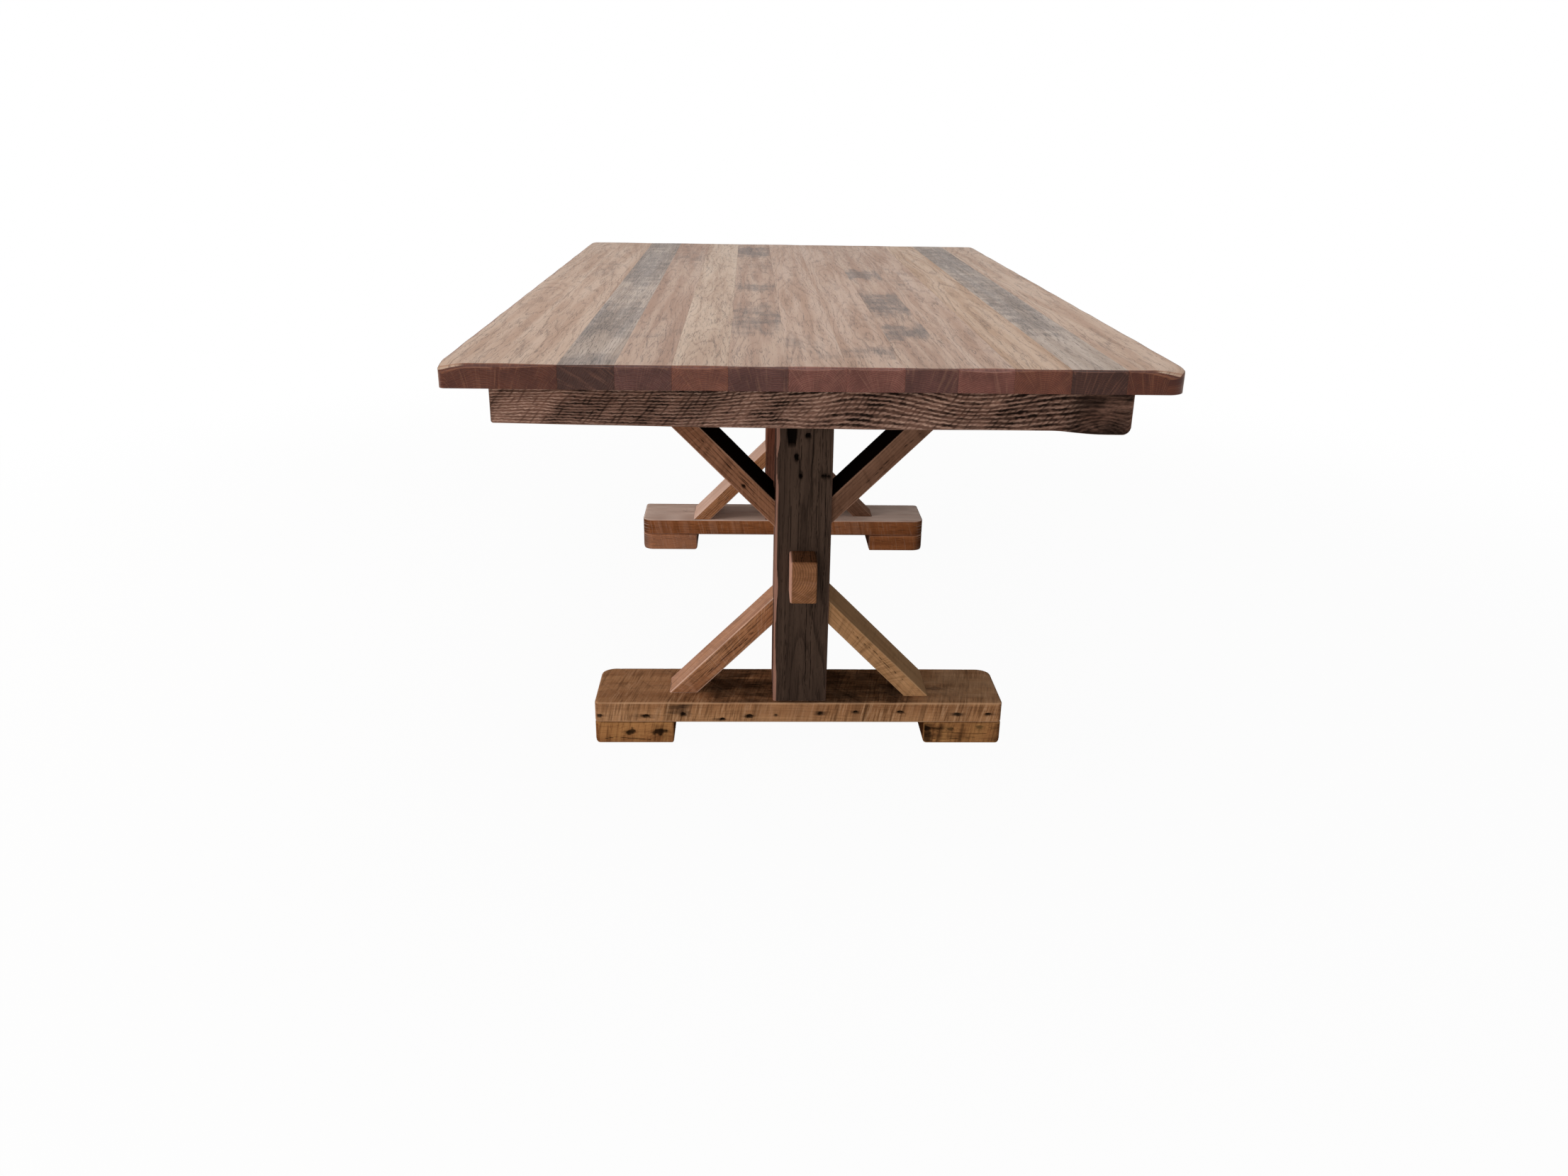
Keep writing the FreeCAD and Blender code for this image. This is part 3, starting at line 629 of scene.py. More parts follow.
@dataclass
class Timber:
    """One piece of oak: a rounded section carried along a straight line, with eased rims and closed ends.

    The size is in metres, the rest in millimetres. The grid is the distance between points on the right,
    upper, left and lower sides, and between rows. Near the ends the rows may be closer.
    """

    name: str
    seat: Seat
    size: Array
    marks: Sequence[Mark]
    easing: float
    rim: float
    grid: tuple[float, float, float, float, float]
    heart: Point
    fine_ends: float = 0.0
    fine_spacing: float = 2.0
    shoulders: tuple[float, ...] = ()
    cap_rows: int = 10

    def ring(self) -> tuple[Array, Array, Array]:
        """Walks round the section, anticlockwise from the foot of its right side.

        Four straight runs are joined by quarter circles of the easing's radius. The core is an ellipse inside
        the section that gives each side a quarter of its turn, evenly shared out, for the middle of an end.

        Returns:
            Points, outward normals and points of the core, each of shape (points, 2).
        """
        half, easing = self.size[1:] / 2, self.easing * MM
        points, normals, turned = [], [], []
        for quarter, spacing in enumerate(self.grid[:4]):
            turn = quarter * math.pi / 2
            outward = np.array([math.cos(turn), math.sin(turn)])
            forward = np.array([-math.sin(turn), math.cos(turn)])
            reach, run = np.roll(half - easing, quarter)
            places = np.linspace(-run, run, max(2, math.ceil(2 * run / (spacing * MM))) + 1)[:, None]
            points.append((reach + easing) * outward + places * forward)
            normals.append(np.broadcast_to(outward, points[-1].shape))
            turns = turn + np.linspace(0, math.pi / 2, CORNER_POINTS + 2)[1:-1, None]
            normals.append(np.hstack([np.cos(turns), np.sin(turns)]))
            points.append(reach * outward + run * forward + easing * normals[-1])
            count = len(places) + len(turns)
            turned.append(turn - math.pi / 4 + np.linspace(0, math.pi / 2, count, endpoint=False))
        turned = np.concatenate(turned)
        core = CORE_SHARE * half * np.stack([np.cos(turned), np.sin(turned)], axis=1)
        return np.vstack(points), np.vstack(normals), core

    def rows(self) -> Array:
        """Lays out the rows of the grid from one end to the other.

        Each end is filled by rings that grow from its middle, and its rim follows a quarter circle. Between
        the rims the rows are evenly spaced, closer near the ends where that is asked for.

        Returns:
            For each row: place along, draw-in of the section, scale of the section, normal's part along.
        """
        half, rim = self.size[0] / 2, self.rim * MM
        grow = np.linspace(0, 1, self.cap_rows + 1)[:-1]
        turns = np.linspace(0, math.pi / 2, RIM_ROWS)
        cap = np.broadcast_arrays(-half, rim, grow, -1.0)
        back, draw = rim * (1 - np.cos(turns)), rim * (1 - np.sin(turns))
        bend = np.broadcast_arrays(-half + back, draw, 1.0, -np.cos(turns))
        inner, close = half - rim, self.fine_spacing * MM
        fine = min(self.fine_ends * MM, inner)
        end_places = np.arange(close, fine, close) if fine else np.zeros(0)
        start = end_places[-1] if len(end_places) else 0.0
        count = max(2, math.ceil(2 * (inner - start) / (self.grid[4] * MM)))
        places = np.linspace(-inner + start, inner - start, count + 1)[1:-1]
        edges = [side * shoulder for shoulder in self.shoulders for side in (-1, 1)]
        tight = [(edge + nudge) * MM for edge in edges for nudge in (-SHOULDER_NUDGE, SHOULDER_NUDGE)]
        places = np.unique(np.concatenate([-inner + end_places, places, inner - end_places, tight]))
        body = np.broadcast_arrays(places, 0.0, 1.0, 0.0)
        cap, bend, body = (np.stack(columns, axis=1) for columns in (cap, bend, body))
        mirror = np.array([-1, 1, 1, -1])
        return np.vstack([cap, bend, body, (bend * mirror)[::-1], (cap * mirror)[::-1]])

    def skin(self) -> Skin:
        """Carries the section along the rows and carves every mark into it.

        Returns:
            The carved surface.
        """
        along, draw, scale, tilt = (column[:, None, None] for column in self.rows().T)
        ring, outward, core = self.ring()
        sections = (core * (1 - scale**2) + (ring - outward * draw) * scale**2) * scale
        shape = sections.shape[:2]
        base = np.concatenate([np.broadcast_to(along, (*shape, 1)), sections], axis=-1) / MM
        turned = outward * np.sqrt(1 - tilt**2)
        normal = np.concatenate([np.broadcast_to(tilt, (*shape, 1)), turned], axis=-1)
        marks = {mark: np.zeros(shape) for mark in ("cut", "stain_and_shade", "worn_and_highlight")}
        marks["end"] = smooth(0.05, 0.4, np.abs(normal[..., 0]))
        skin = Skin(self.size / 2 / MM, base, normal, base - self.heart, np.zeros(shape), marks)
        for mark in self.marks:
            mark.carve(skin)
        return skin

    def mesh(self) -> bpy.types.Mesh:
        """Turns the grid into a closed mesh: quads between the rows, and a fan to a point at each end.

        Returns:
            The mesh, with the marks and the grain as attributes of its points.
        """
        skin = self.skin()
        place = self.seat.middle + (skin.base - skin.normal * skin.depth[..., None]) * MM @ self.seat.axes
        rows, ring = place.shape[0] - 2, place.shape[1]
        last = rows * ring + 1
        at = 1 + np.arange(rows * ring).reshape(rows, ring)
        after = np.roll(at, -1, axis=1)
        quads = np.stack([at[:-1], after[:-1], after[1:], at[1:]], axis=-1)
        first_fan = np.stack([np.zeros(ring, int), after[0], at[0]], axis=-1)
        last_fan = np.stack([np.full(ring, last), at[-1], after[-1]], axis=-1)
        corners = np.concatenate([quads.ravel(), first_fan.ravel(), last_fan.ravel()])
        sizes = np.concatenate([np.full((rows - 1) * ring, 4), np.full(2 * ring, 3)])
        mesh = bpy.data.meshes.new(self.name)
        mesh.vertices.add(last + 1)
        mesh.vertices.foreach_set("co", self.flattened(place))
        mesh.loops.add(len(corners))
        mesh.loops.foreach_set("vertex_index", corners)
        mesh.polygons.add(len(sizes))
        mesh.polygons.foreach_set("loop_start", np.concatenate([[0], np.cumsum(sizes)[:-1]]))
        mesh.polygons.foreach_set("loop_total", sizes)
        mesh.polygons.foreach_set("use_smooth", np.ones(len(sizes), bool))
        mesh.update(calc_edges=True)
        for name, values in skin.marks.items():
            mesh.attributes.new(name, "FLOAT", "POINT").data.foreach_set("value", self.flattened(values))
        grain = mesh.attributes.new("grain", "FLOAT_VECTOR", "POINT")
        grain.data.foreach_set("vector", self.flattened(skin.grain * MM))
        mesh.validate()
        return mesh

    @staticmethod
    def flattened(values: Array) -> Array:
        """The grid as one run of vertices, with the first and last rows drawn to one point each."""
        inner = values[1:-1].reshape(-1, *values.shape[2:])
        return np.concatenate([values[:1, 0], inner, values[-1:, 0]]).astype(np.float32).ravel()

    def place(self, finish: "OakFinish", slot: str) -> None:
        """Puts the timber in the scene in place of the solid it is named after.

        Args:
            finish: the oak's finish.
            slot: not used.
        """
        piece = bpy.data.objects.new(f"oak_{self.name}", self.mesh())
        bpy.context.scene.collection.objects.link(piece)
        piece.data.materials.append(finish.material())
        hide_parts(self.name)
        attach(piece, BODY)
        LOG.info("%s: %d faces", piece.name, len(piece.data.polygons))


class Nodes:
    """The nodes of a material or the world, added one by one."""

    def __init__(self, owner: bpy.types.Material | bpy.types.World) -> None:
        """Starts from an empty tree.

        Args:
            owner: what the nodes belong to.
        """
        owner.use_nodes = True
        self.tree = owner.node_tree
        self.tree.nodes.clear()

    def add(self, kind: str, *inputs: Any, out: int | str = 0, **named: Any) -> Optional[Socket]:
        """Adds a node.

        Args:
            kind: the node's type, and after a colon its mode.
            inputs: a socket to link or a plain value to set for each of its inputs in order, or None.
            out: the output to hand back.
            named: the node's settings, and inputs by their names, which start with a capital.

        Returns:
            The output asked for, or None where the node has none.
        """
        kind, _, mode = kind.partition(":")
        node = self.tree.nodes.new(f"ShaderNode{kind}")
        if mode:
            setattr(node, MODES[kind], mode)
        for name, value in named.items():
            if name[0].islower():
                setattr(node, name, value)
        for name, value in (*enumerate(inputs), *named.items()):
            if isinstance(value, Socket):
                self.tree.links.new(value, node.inputs[name])
            elif value is not None and (isinstance(name, int) or name[0].isupper()):
                node.inputs[name].default_value = value
        return node.outputs[out] if len(node.outputs) else None

    def over(self, under: str | Socket, colour: str | Socket, amount: Socket, share: float = 1.0) -> Socket:
        """Lays one colour over another.

        Args:
            under: the colour below.
            colour: the colour above.
            amount: how much of it shows.
            share: its greatest strength.

        Returns:
            The mixed colour.
        """
        if share < 1:
            amount = self.add("Math:MULTIPLY", amount, share, use_clamp=True)
        under, colour = (linear(tone) if isinstance(tone, str) else tone for tone in (under, colour))
        return self.add("Mix", amount, *[None] * 5, under, colour, out=2, data_type="RGBA")


class Grain(Enum):
    """Where an oak finish reads its grain from."""

    TIMBER = "grain"
    SOLID = "object"


@dataclass(frozen=True)
class OakFinish:
    """Solid oak seen through its finish: growth rings round a heart, open pores, stains and sawn ends, with
    painted shade and painted highlights laid on as marks.

    The rings are level lines of the distance from the heart, swayed by slow hills and leaning with the tree's
    taper, so that a board shows arches, stripes or rings as it was sawn. Sizes are in millimetres.
    """

    name: str
    pale: str
    tan: str
    dark: str
    pore: str
    smoke_and_shade: str
    sawn: str
    sawn_dark: str
    rubbed_and_highlight: str
    ring: float = 3.4
    line: float = 0.5
    sway: float = 5.0
    ripple: float = 1.0
    taper: float = 0.014
    ring_share: float = 0.6
    pore_share: float = 0.5
    pore_size: tuple[float, float] = (40.0, 1.2)
    pore_gather: float = 0.13
    smoke_and_shade_share: float = 0.8
    ray_share: float = 0.32
    end_ring: float = 2.8
    saw_share: float = 0.0
    saw_spacing: float = 5.0
    saw_lean: float = 0.12
    roughness: float = 0.5
    relief: float = 0.25
    gloss: float = 0.0
    grain: Grain = Grain.TIMBER

    def material(self) -> bpy.types.Material:
        """Makes the material, or finds it where it is made already."""
        return bpy.data.materials.get(self.name) or OakNodes(self).made


class OakNodes(Nodes):
    """The nodes of an oak finish."""

    def __init__(self, finish: OakFinish) -> None:
        """Makes the finish's material.

        Args:
            finish: the finish.
        """
        self.finish = finish
        self.made = bpy.data.materials.new(finish.name)
        super().__init__(self.made)
        self.grain = self.coordinates()
        rings, early, radius = self.rings()
        pores = self.pores(early)
        # Streaks about 500 mm long and 25 mm wide
        mottle = self.streaks(2, 40, 4, 0.6)
        colour = self.colour(rings, pores, mottle, radius)
        raised = self.add("Math:MULTIPLY_ADD", pores, 0.7, rings)
        bump = self.add("Bump", Height=raised, Strength=0.7, Distance=finish.relief * MM, invert=True)
        rough = self.add("MapRange", mottle, 0.3, 0.7, finish.roughness - 0.05, finish.roughness + 0.08)
        settings = {"Base Color": colour, "IOR": 1.5, "Specular IOR Level": finish.gloss}
        shader = self.add("BsdfPrincipled", Roughness=rough, Normal=bump, **settings)
        self.add("OutputMaterial", Surface=shader)

    def coordinates(self) -> Socket:
        """Finds the grain's own coordinates.

        Returns:
            The place along the grain, and across it from the heart.
        """
        if self.finish.grain is Grain.TIMBER:
            return self.add("Attribute", out="Vector", attribute_name=self.finish.grain.value)
        turned = {"Location": (0.0, 0.13, 0.9), "Rotation": (0, 0, math.radians(88))}
        return self.add("Mapping", Vector=self.add("TexCoord", out="Object"), **turned)

    def streaks(
        self, along: float, across: float, detail: float, roughness: float = 0.5,
        place: Optional[Socket] = None, out: str = "Fac",
    ) -> Socket:
        """Noise drawn out along the grain: so many hills in a metre along it, and so many across it."""
        drawn = self.add("VectorMath:MULTIPLY", place or self.grain, (along, across, across))
        return self.add("TexNoise", Vector=drawn, Scale=1, Detail=detail, Roughness=roughness, out=out)

    def rings(self) -> tuple[Socket, Socket, Socket]:
        """Growth rings: whole numbers of (distance from the heart + sway + taper x along) / ring width.

        Returns:
            Strength of the ring lines, the early wood's share and the distance from the heart.
        """
        add, finish = self.add, self.finish
        radius = add("VectorMath:LENGTH", add("VectorMath:MULTIPLY", self.grain, (0, 1, 1)), out="Value")
        # Slow hills 420 mm long and 70 mm wide, ripples 140 mm long and 16 mm wide
        slow = self.streaks(2.4, 14, 1)
        quick = self.streaks(7, 62, 2.5, 0.6)
        path = add("Math:MULTIPLY_ADD", add("SeparateXYZ", self.grain), finish.taper, radius)
        path = add("Math:MULTIPLY_ADD", slow, 4 * finish.sway * MM, path)
        path = add("Math:MULTIPLY_ADD", quick, 4 * finish.ripple * MM, path)
        count = add("Math:MULTIPLY", path, 1 / (finish.ring * MM))
        share = add("Math:FRACT", count)
        chance = add("TexWhiteNoise", W=add("Math:FLOOR", count), noise_dimensions="1D")
        fade = add("MapRange:SMOOTHSTEP", share, 0.2 * finish.line, finish.line, 1, 0)
        rise = add("MapRange:SMOOTHSTEP", share, 0, 0.2 * finish.line)
        early = add("Math:MULTIPLY", fade, rise)
        vary = add("MapRange", chance, 0, 1, 0.3, 1)
        return add("Math:MULTIPLY", early, vary), early, radius

    def pores(self, early: Socket) -> Socket:
        """Open pores: short dark strokes along the grain, gathered in the early wood and in wide streaks.

        Real pores are 0.3 mm wide and a few millimetres long; these are coarser, so that they show.

        Args:
            early: the early wood's share.

        Returns:
            Strength of the strokes.
        """
        # The strokes wave by about 4 mm over 50 mm
        wave = self.streaks(20, 80, 1, out="Color")
        bent = self.add("VectorMath:MULTIPLY_ADD", wave, (0, 0.009, 0.009), self.grain)
        length, width = self.finish.pore_size
        stroke = self.streaks(1 / (length * MM), 0.5 / (width * MM), 2, 0.55, bent)
        stroke = self.add("Math:MULTIPLY_ADD", self.streaks(6, 22, 2), 0.22, stroke)
        stroke = self.add("Math:MULTIPLY_ADD", early, self.finish.pore_gather, stroke)
        return self.add("MapRange:SMOOTHSTEP", stroke, 0.69, 0.77)

    def colour(self, rings: Socket, pores: Socket, mottle: Socket, radius: Socket) -> Socket:
        """Lays the colours over one another: blotches, rings, stains and painted shade, pores, sawn ends,
        cuts, rubbed edges and painted highlights.

        Args:
            rings: strength of the ring lines.
            pores: strength of the pores.
            mottle: slow blotches.
            radius: distance from the heart.

        Returns:
            The base colour.
        """
        add, over, finish = self.add, self.over, self.finish
        colour = over(finish.pale, finish.tan, add("MapRange:SMOOTHSTEP", mottle, 0.36, 0.64))
        colour = over(colour, finish.dark, rings, finish.ring_share)
        if finish.saw_share:
            colour = self.saw_lines(colour)
        stain_and_shade, chatter = self.stains()
        # Stains and painted shade are both laid in the smoke colour
        colour = over(colour, finish.smoke_and_shade, stain_and_shade, finish.smoke_and_shade_share)
        colour = over(colour, finish.pore, chatter, 0.7 * finish.smoke_and_shade_share)
        colour = over(colour, finish.pore, pores, finish.pore_share)
        sawn = over(finish.sawn, finish.sawn_dark, add("MapRange:SMOOTHSTEP", mottle, 0.3, 0.7), 0.7)
        sawn = over(sawn, finish.sawn_dark, self.end_rings(radius, mottle), 0.75)
        sawn = over(sawn, finish.rubbed_and_highlight, self.rays(radius), finish.ray_share)
        # The worn layer holds both wear and painted highlights
        layers = (("end", sawn, 1), ("cut", finish.pore, 0.96), ("worn_and_highlight", finish.rubbed_and_highlight, 0.8))
        for mark, tone, share in layers:
            colour = over(colour, tone, add("Attribute", out="Fac", attribute_name=mark), share)
        return colour

    def stains(self) -> tuple[Socket, Socket]:
        """Ragged stains and painted shade: the noted mark, broken up by streaks along the grain and smears
        across it.

        Returns:
            Strength of the stain and painted shade, and of the dark squiggles inside it.
        """
        add = self.add
        stain_and_shade = add("Attribute", out="Fac", attribute_name="stain_and_shade")
        # Streaks about 110 mm long and 10 mm wide, smears about 40 mm along and 60 mm across
        ragged = add("Math:ADD", self.streaks(9, 100, 4, 0.65), self.streaks(24, 17, 3))
        ragged = add("Math:MULTIPLY_ADD", ragged, 1.5, -1.5)
        ragged = add("MapRange:SMOOTHSTEP", add("Math:ADD", stain_and_shade, ragged), 0.2, 1.2)
        ragged = add("Math:MULTIPLY", ragged, add("Math:MULTIPLY", stain_and_shade, 2.5, use_clamp=True))
        # Squiggles are level lines of hills 120 mm long and 18 mm wide
        level = add("Math:MULTIPLY", self.streaks(8, 55, 3, 0.62), 15)
        line = add("MapRange:SMOOTHSTEP", add("Math:PINGPONG", level, 1), 0.38, 0.1)
        return ragged, add("Math:MULTIPLY", line, ragged)

    def saw_lines(self, colour: Socket) -> Socket:
        """Lines of the saw across the timber, dark in their hollows and pale on their ridges.

        The timber moved past the blade by fits and starts, so that its lines lie in blocks about nine lines
        wide, each with a tone and a strength of its own.

        Args:
            colour: what the lines lie on.

        Returns:
            The colour with its lines.
        """
        add, finish = self.add, self.finish
        close = 1 / (finish.saw_spacing * MM)
        lean = (close, finish.saw_lean * close, finish.saw_lean * close)
        across = add("VectorMath:DOT_PRODUCT", self.grain, lean, out="Value")
        slow = add("VectorMath:MULTIPLY", self.grain, (0, 20, 20))
        path = add("VectorMath:ADD", add("CombineXYZ", across), slow)
        line = add("TexNoise", Vector=path, Scale=1, Detail=3, Roughness=0.6)
        far = add("Math:MULTIPLY", across, 0.11)
        drift = add("TexNoise", W=far, Scale=1, Detail=1, noise_dimensions="1D")
        block = add("Math:FLOOR", add("Math:MULTIPLY_ADD", drift, 2.5, far))
        tone = add("TexWhiteNoise", W=block, noise_dimensions="1D")
        depth = add("MapRange", tone, 0, 1, 0.3, 1)
        hollow = add("Math:MULTIPLY", add("MapRange:SMOOTHSTEP", line, 0.52, 0.62), depth)
        ridge = add("Math:MULTIPLY", add("MapRange:SMOOTHSTEP", line, 0.47, 0.37), depth)
        colour = self.over(colour, finish.dark, add("MapRange", tone, 0.55, 1), 0.4 * finish.saw_share)
        colour = self.over(colour, finish.dark, hollow, finish.saw_share)
        return self.over(colour, finish.rubbed_and_highlight, ridge, 0.6 * finish.saw_share)

    def end_rings(self, radius: Socket, mottle: Socket) -> Socket:
        """Rings on a sawn end: dark lines at even distances from the heart, waved a little.

        Args:
            radius: distance from the heart.
            mottle: slow blotches.

        Returns:
            Strength of the lines.
        """
        path = self.add("Math:MULTIPLY_ADD", mottle, 0.006, radius)
        count = self.add("Math:MULTIPLY", path, 1 / (self.finish.end_ring * MM))
        return self.add("MapRange:SMOOTHSTEP", self.add("Math:PINGPONG", count, 0.5), 0.3, 0.05)

    def rays(self, radius: Socket) -> Socket:
        """Rays on a sawn end: thin pale stripes that fan out from the heart, about 2 mm apart.

        Args:
            radius: distance from the heart.

        Returns:
            Paleness of the rays.
        """
        through = self.add("SeparateXYZ", self.grain, out=2)
        angle = self.add("Math:ARCTAN2", through, through.node.outputs[1])
        fan = self.add("VectorMath:MULTIPLY", self.add("CombineXYZ", angle, radius), (42, 14, 0))
        stripe = self.add("TexNoise", Vector=fan, Scale=1, Detail=3, Roughness=0.65)
        return self.add("MapRange:SMOOTHSTEP", stripe, 0.5, 0.68)


@dataclass(frozen=True)
class ZincSteel:
    """Zinc-plated steel of the hidden screws and washers: dull silver with yellowish, cloudy patches."""

    name: str = "zinc_plated_steel_rolled"
    bright: str = "#A9A69D"
    cloudy: str = "#8A8268"

    def material(self) -> bpy.types.Material:
        """Makes the material.

        Returns:
            The material, with crystals that catch the light a little.
        """
        made = bpy.data.materials.new(self.name)
        nodes = Nodes(made)
        # Crystals of the plating about 3 mm across
        cloud = nodes.add("TexNoise", Vector=nodes.add("TexCoord", out="Object"), Scale=330, Detail=3)
        colour = nodes.over(self.bright, self.cloudy, nodes.add("MapRange", cloud, 0.35, 0.65))
        rough = nodes.add("MapRange", cloud, 0, 1, 0.28, 0.5)
        bump = nodes.add("Bump", Height=cloud, Strength=0.2, Distance=0.05 * MM)
        shader = nodes.add("BsdfPrincipled", colour, 1, rough, Normal=bump)
        nodes.add("OutputMaterial", Surface=shader)
        return made


@dataclass(frozen=True)
class SandedOak(OakFinish):
    """Sanded oak under satin lacquer, for the top: pale, with thin strokes and remains of old stains."""

    line: float = 0.48
    ring_share: float = 0.36
    pore_size: tuple[float, float] = (46.0, 0.75)
    pore_gather: float = 0.07
    smoke_and_shade_share: float = 0.7
    relief: float = 0.5
    gloss: float = 0.2


class TopTone(Enum):
    """Tones of the top's boards."""

    TAN = SandedOak(
        # Warm tan with long, quiet arches
        "oak_sanded_satin_tan", "#BBA08B", "#A98B76", "#6B4F3D", "#4A382E", "#6E6058", "#5E3120", "#3E201A",
        "#8E5F47", ring=5.2, sway=9, ripple=2.6,
    )
    SLATE = SandedOak(
        # Greyish tan, much of it under grey stains
        "oak_sanded_satin_slate", "#B3A295", "#A08E80", "#5E4E44", "#382E28", "#6A5F59", "#46281F", "#2E1A16",
        "#7C5546", ring=4.6, sway=9, ripple=3, pore_share=0.55,
    )
    HONEY = SandedOak(
        # The palest, with wide wandering arches
        "oak_sanded_satin_honey", "#C0A893", "#AC917D", "#6B4C38", "#43322A", "#6A5D55", "#7C4A38", "#52302A",
        "#8E5F47", ring=6, sway=14, ripple=4.4,
    )
    ROSE = SandedOak(
        # Pinkish tan with fine arches
        "oak_sanded_satin_rose", "#B69A87", "#A48571", "#6E5242", "#42322B", "#5F534D", "#7C4C42", "#54322C",
        "#986C5C", ring=5.4, sway=10, ripple=3, smoke_and_shade_share=0.78,
    )
    MAUVE = SandedOak(
        # Browner than the rest, with dark stains
        "oak_sanded_satin_mauve", "#B19581", "#9E7F6C", "#6A4E40", "#42322B", "#5F534D", "#603A34", "#402724",
        "#84604E", ring=5, sway=10, ripple=3, smoke_and_shade_share=0.78,
    )
    STRAW = SandedOak(
        # Yellowish tan with clear, nearly straight rings
        "oak_sanded_satin_straw", "#BCA089", "#AA8B72", "#63452F", "#46342B", "#6A5D55", "#704030", "#4A2820",
        "#8E5F47", ring=5.6, line=0.5, sway=7, ripple=1.6,
    )


@dataclass(frozen=True)
class Board:
    """One board of the top: its tone, the tree's heart from the board's middle, and its stains.

    The heart is across and through. A stain is its middle along the board from the table's middle, its half
    length, its middle across as a share of the half width, and its strength.
    """

    tone: TopTone
    heart: tuple[float, float]
    stains: Table = ()


@dataclass(frozen=True)
class TableTop:
    """The top: glued-up boards with rubbed arrises all round and rounded corners."""

    rear_corner: float = 22
    least_wear: float = 2.5
    # Waves along an edge and swing of the wear, at the ends and the sides
    end_wear: tuple[float, float] = (4.5, 6.0)
    side_wear: tuple[float, float] = (7.5, 1.5)
    boards: tuple[Board, ...] = (
        Board(TopTone.TAN, (20, -120), ((-300, 300, -0.7, 0.3), (420, 250, 0.3, 0.3))),
        Board(TopTone.TAN, (-60, -140), ((300, 240, -0.5, 0.35),)),
        Board(
            TopTone.SLATE, (150, -90), (
                (0, 1000, 0, 0.42), (-880, 55, -0.1, 0.85), (-500, 240, -0.2, 1.0), (380, 460, -0.1, 1.0),
                (800, 150, 0.2, 0.9),
            ),
        ),
        Board(TopTone.MAUVE, (-16, -64), ((560, 300, 0, 0.45), (-640, 160, 0.4, 0.35))),
        Board(TopTone.HONEY, (8, -44)),
        Board(
            TopTone.MAUVE, (40, -200),
            ((-490, 190, 0.05, 0.8), (-30, 70, 0.0, 0.7), (700, 150, -0.1, 0.95), (330, 120, 0.5, 0.4)),
        ),
        Board(TopTone.ROSE, (-6, -34), ((-760, 130, -0.2, 0.45),)),
        Board(TopTone.ROSE, (10, -42), ((-790, 60, 0.1, 0.7), (-400, 140, 0.6, 0.35))),
        Board(TopTone.MAUVE, (-60, -220), ((-600, 90, 0.1, 1), (-260, 170, 0, 1), (210, 90, 0.1, 0.95))),
        Board(TopTone.ROSE, (52, -180), ((120, 300, -0.8, 0.4),)),
        Board(TopTone.STRAW, (2, -30)),
        Board(TopTone.SLATE, (-40, -110), ((-150, 520, 0.15, 0.9), (560, 420, 0.0, 0.95))),
        Board(TopTone.TAN, (14, -90)),
    )
    # Phase of the side's wear, reach and drop of the worn front corner and its rounding, on the outer boards
    outer: ClassVar[dict[Face, tuple[float, float, float, float]]] = {
        LEFT: (0.85, 45, 9, 10), RIGHT: (0.35, 52, 8, 30),
    }

    def wear(self, share: Array, waves: float, swing: float, phase: float) -> Array:
        """Width of the rubbed arris by the share along an edge: two sine waves that never repeat together."""
        place = 2 * math.pi * (waves * share + phase)
        return self.least_wear + swing * (2 + np.sin(place) + np.sin(place * math.sqrt(3))) / 4

    def front_wear(self, share: Array) -> Array:
        """Width of the front end's arris by the share from the left: its corners are rubbed further."""
        corners = 7 * np.exp(-((share / 0.06) ** 2)) + 2 * np.exp(-(((1 - share) / 0.03) ** 2))
        return self.wear(1 - share, *self.end_wear, 0.1) + corners

    @staticmethod
    def across(seat: Seat, skin: Skin) -> Array:
        """Each point's place across the table, from 0 at its left side to 1, on a board with that seat."""
        low, high = np.array(CAD_BOUNDS)[:, 0]
        return (seat.middle[0] + skin.base[..., 1] * MM - low) / (high - low)

    def side_marks(self, side: Face, length: float) -> list[Mark]:
        """Marks of an outer board.

        Args:
            side: the face that looks out of the table's side.
            length: of the board in millimetres.

        Returns:
            The side's rubbed arris, and its worn and rounded corners.
        """
        phase, reach, drop, radius = self.outer[side]

        def width(skin: Skin) -> Array:
            """Width of the side's arris at each point's place along it."""
            return self.wear(0.5 - side.value[1] * skin.base[..., 0] / length, *self.side_wear, phase)

        return [
            WornArris(side, BELOW, width),
            WornCorner(START, side, reach, drop),
            RoundedCorner(START, side, radius),
            RoundedCorner(END, side, self.rear_corner),
        ]

    def build(self) -> None:
        """Builds every board, left to right. A board's lower face is the table's surface."""
        outer = {1: LEFT, len(self.boards): RIGHT}
        for number, board in enumerate(self.boards, start=1):
            node = f"top_board_{number:02d}"
            seat, size = Seat.of_node(node, AXIS_Y, AXIS_X)
            marks: list[Mark] = [
                WornArris(START, BELOW, lambda skin: self.front_wear(self.across(seat, skin))),
                WornArris(END, BELOW, lambda skin: self.wear(self.across(seat, skin), *self.end_wear, 0.6)),
            ]
            side = outer.get(number)
            if side:
                marks += self.side_marks(side, size[0] / MM)
            marks.append(Hollows((BELOW,), 0.35, 130, 45, 40 + number))
            width = size[1] / MM
            marks += [
                Stain(BELOW, place, half, aside * width / 2, 0.75 * width, strength)
                for place, half, aside, strength in board.stains
            ]
            timber = Timber(
                node, seat, size, marks, easing=0.5, rim=0.4,
                grid=(2 if side is RIGHT else 6, 9, 2 if side is LEFT else 6, 2.6, 7),
                heart=(370 * number, board.heart[0], -board.heart[1]),
                fine_ends=18, fine_spacing=0.9, cap_rows=20,
            )
            timber.place(board.tone.value, "top_oak")


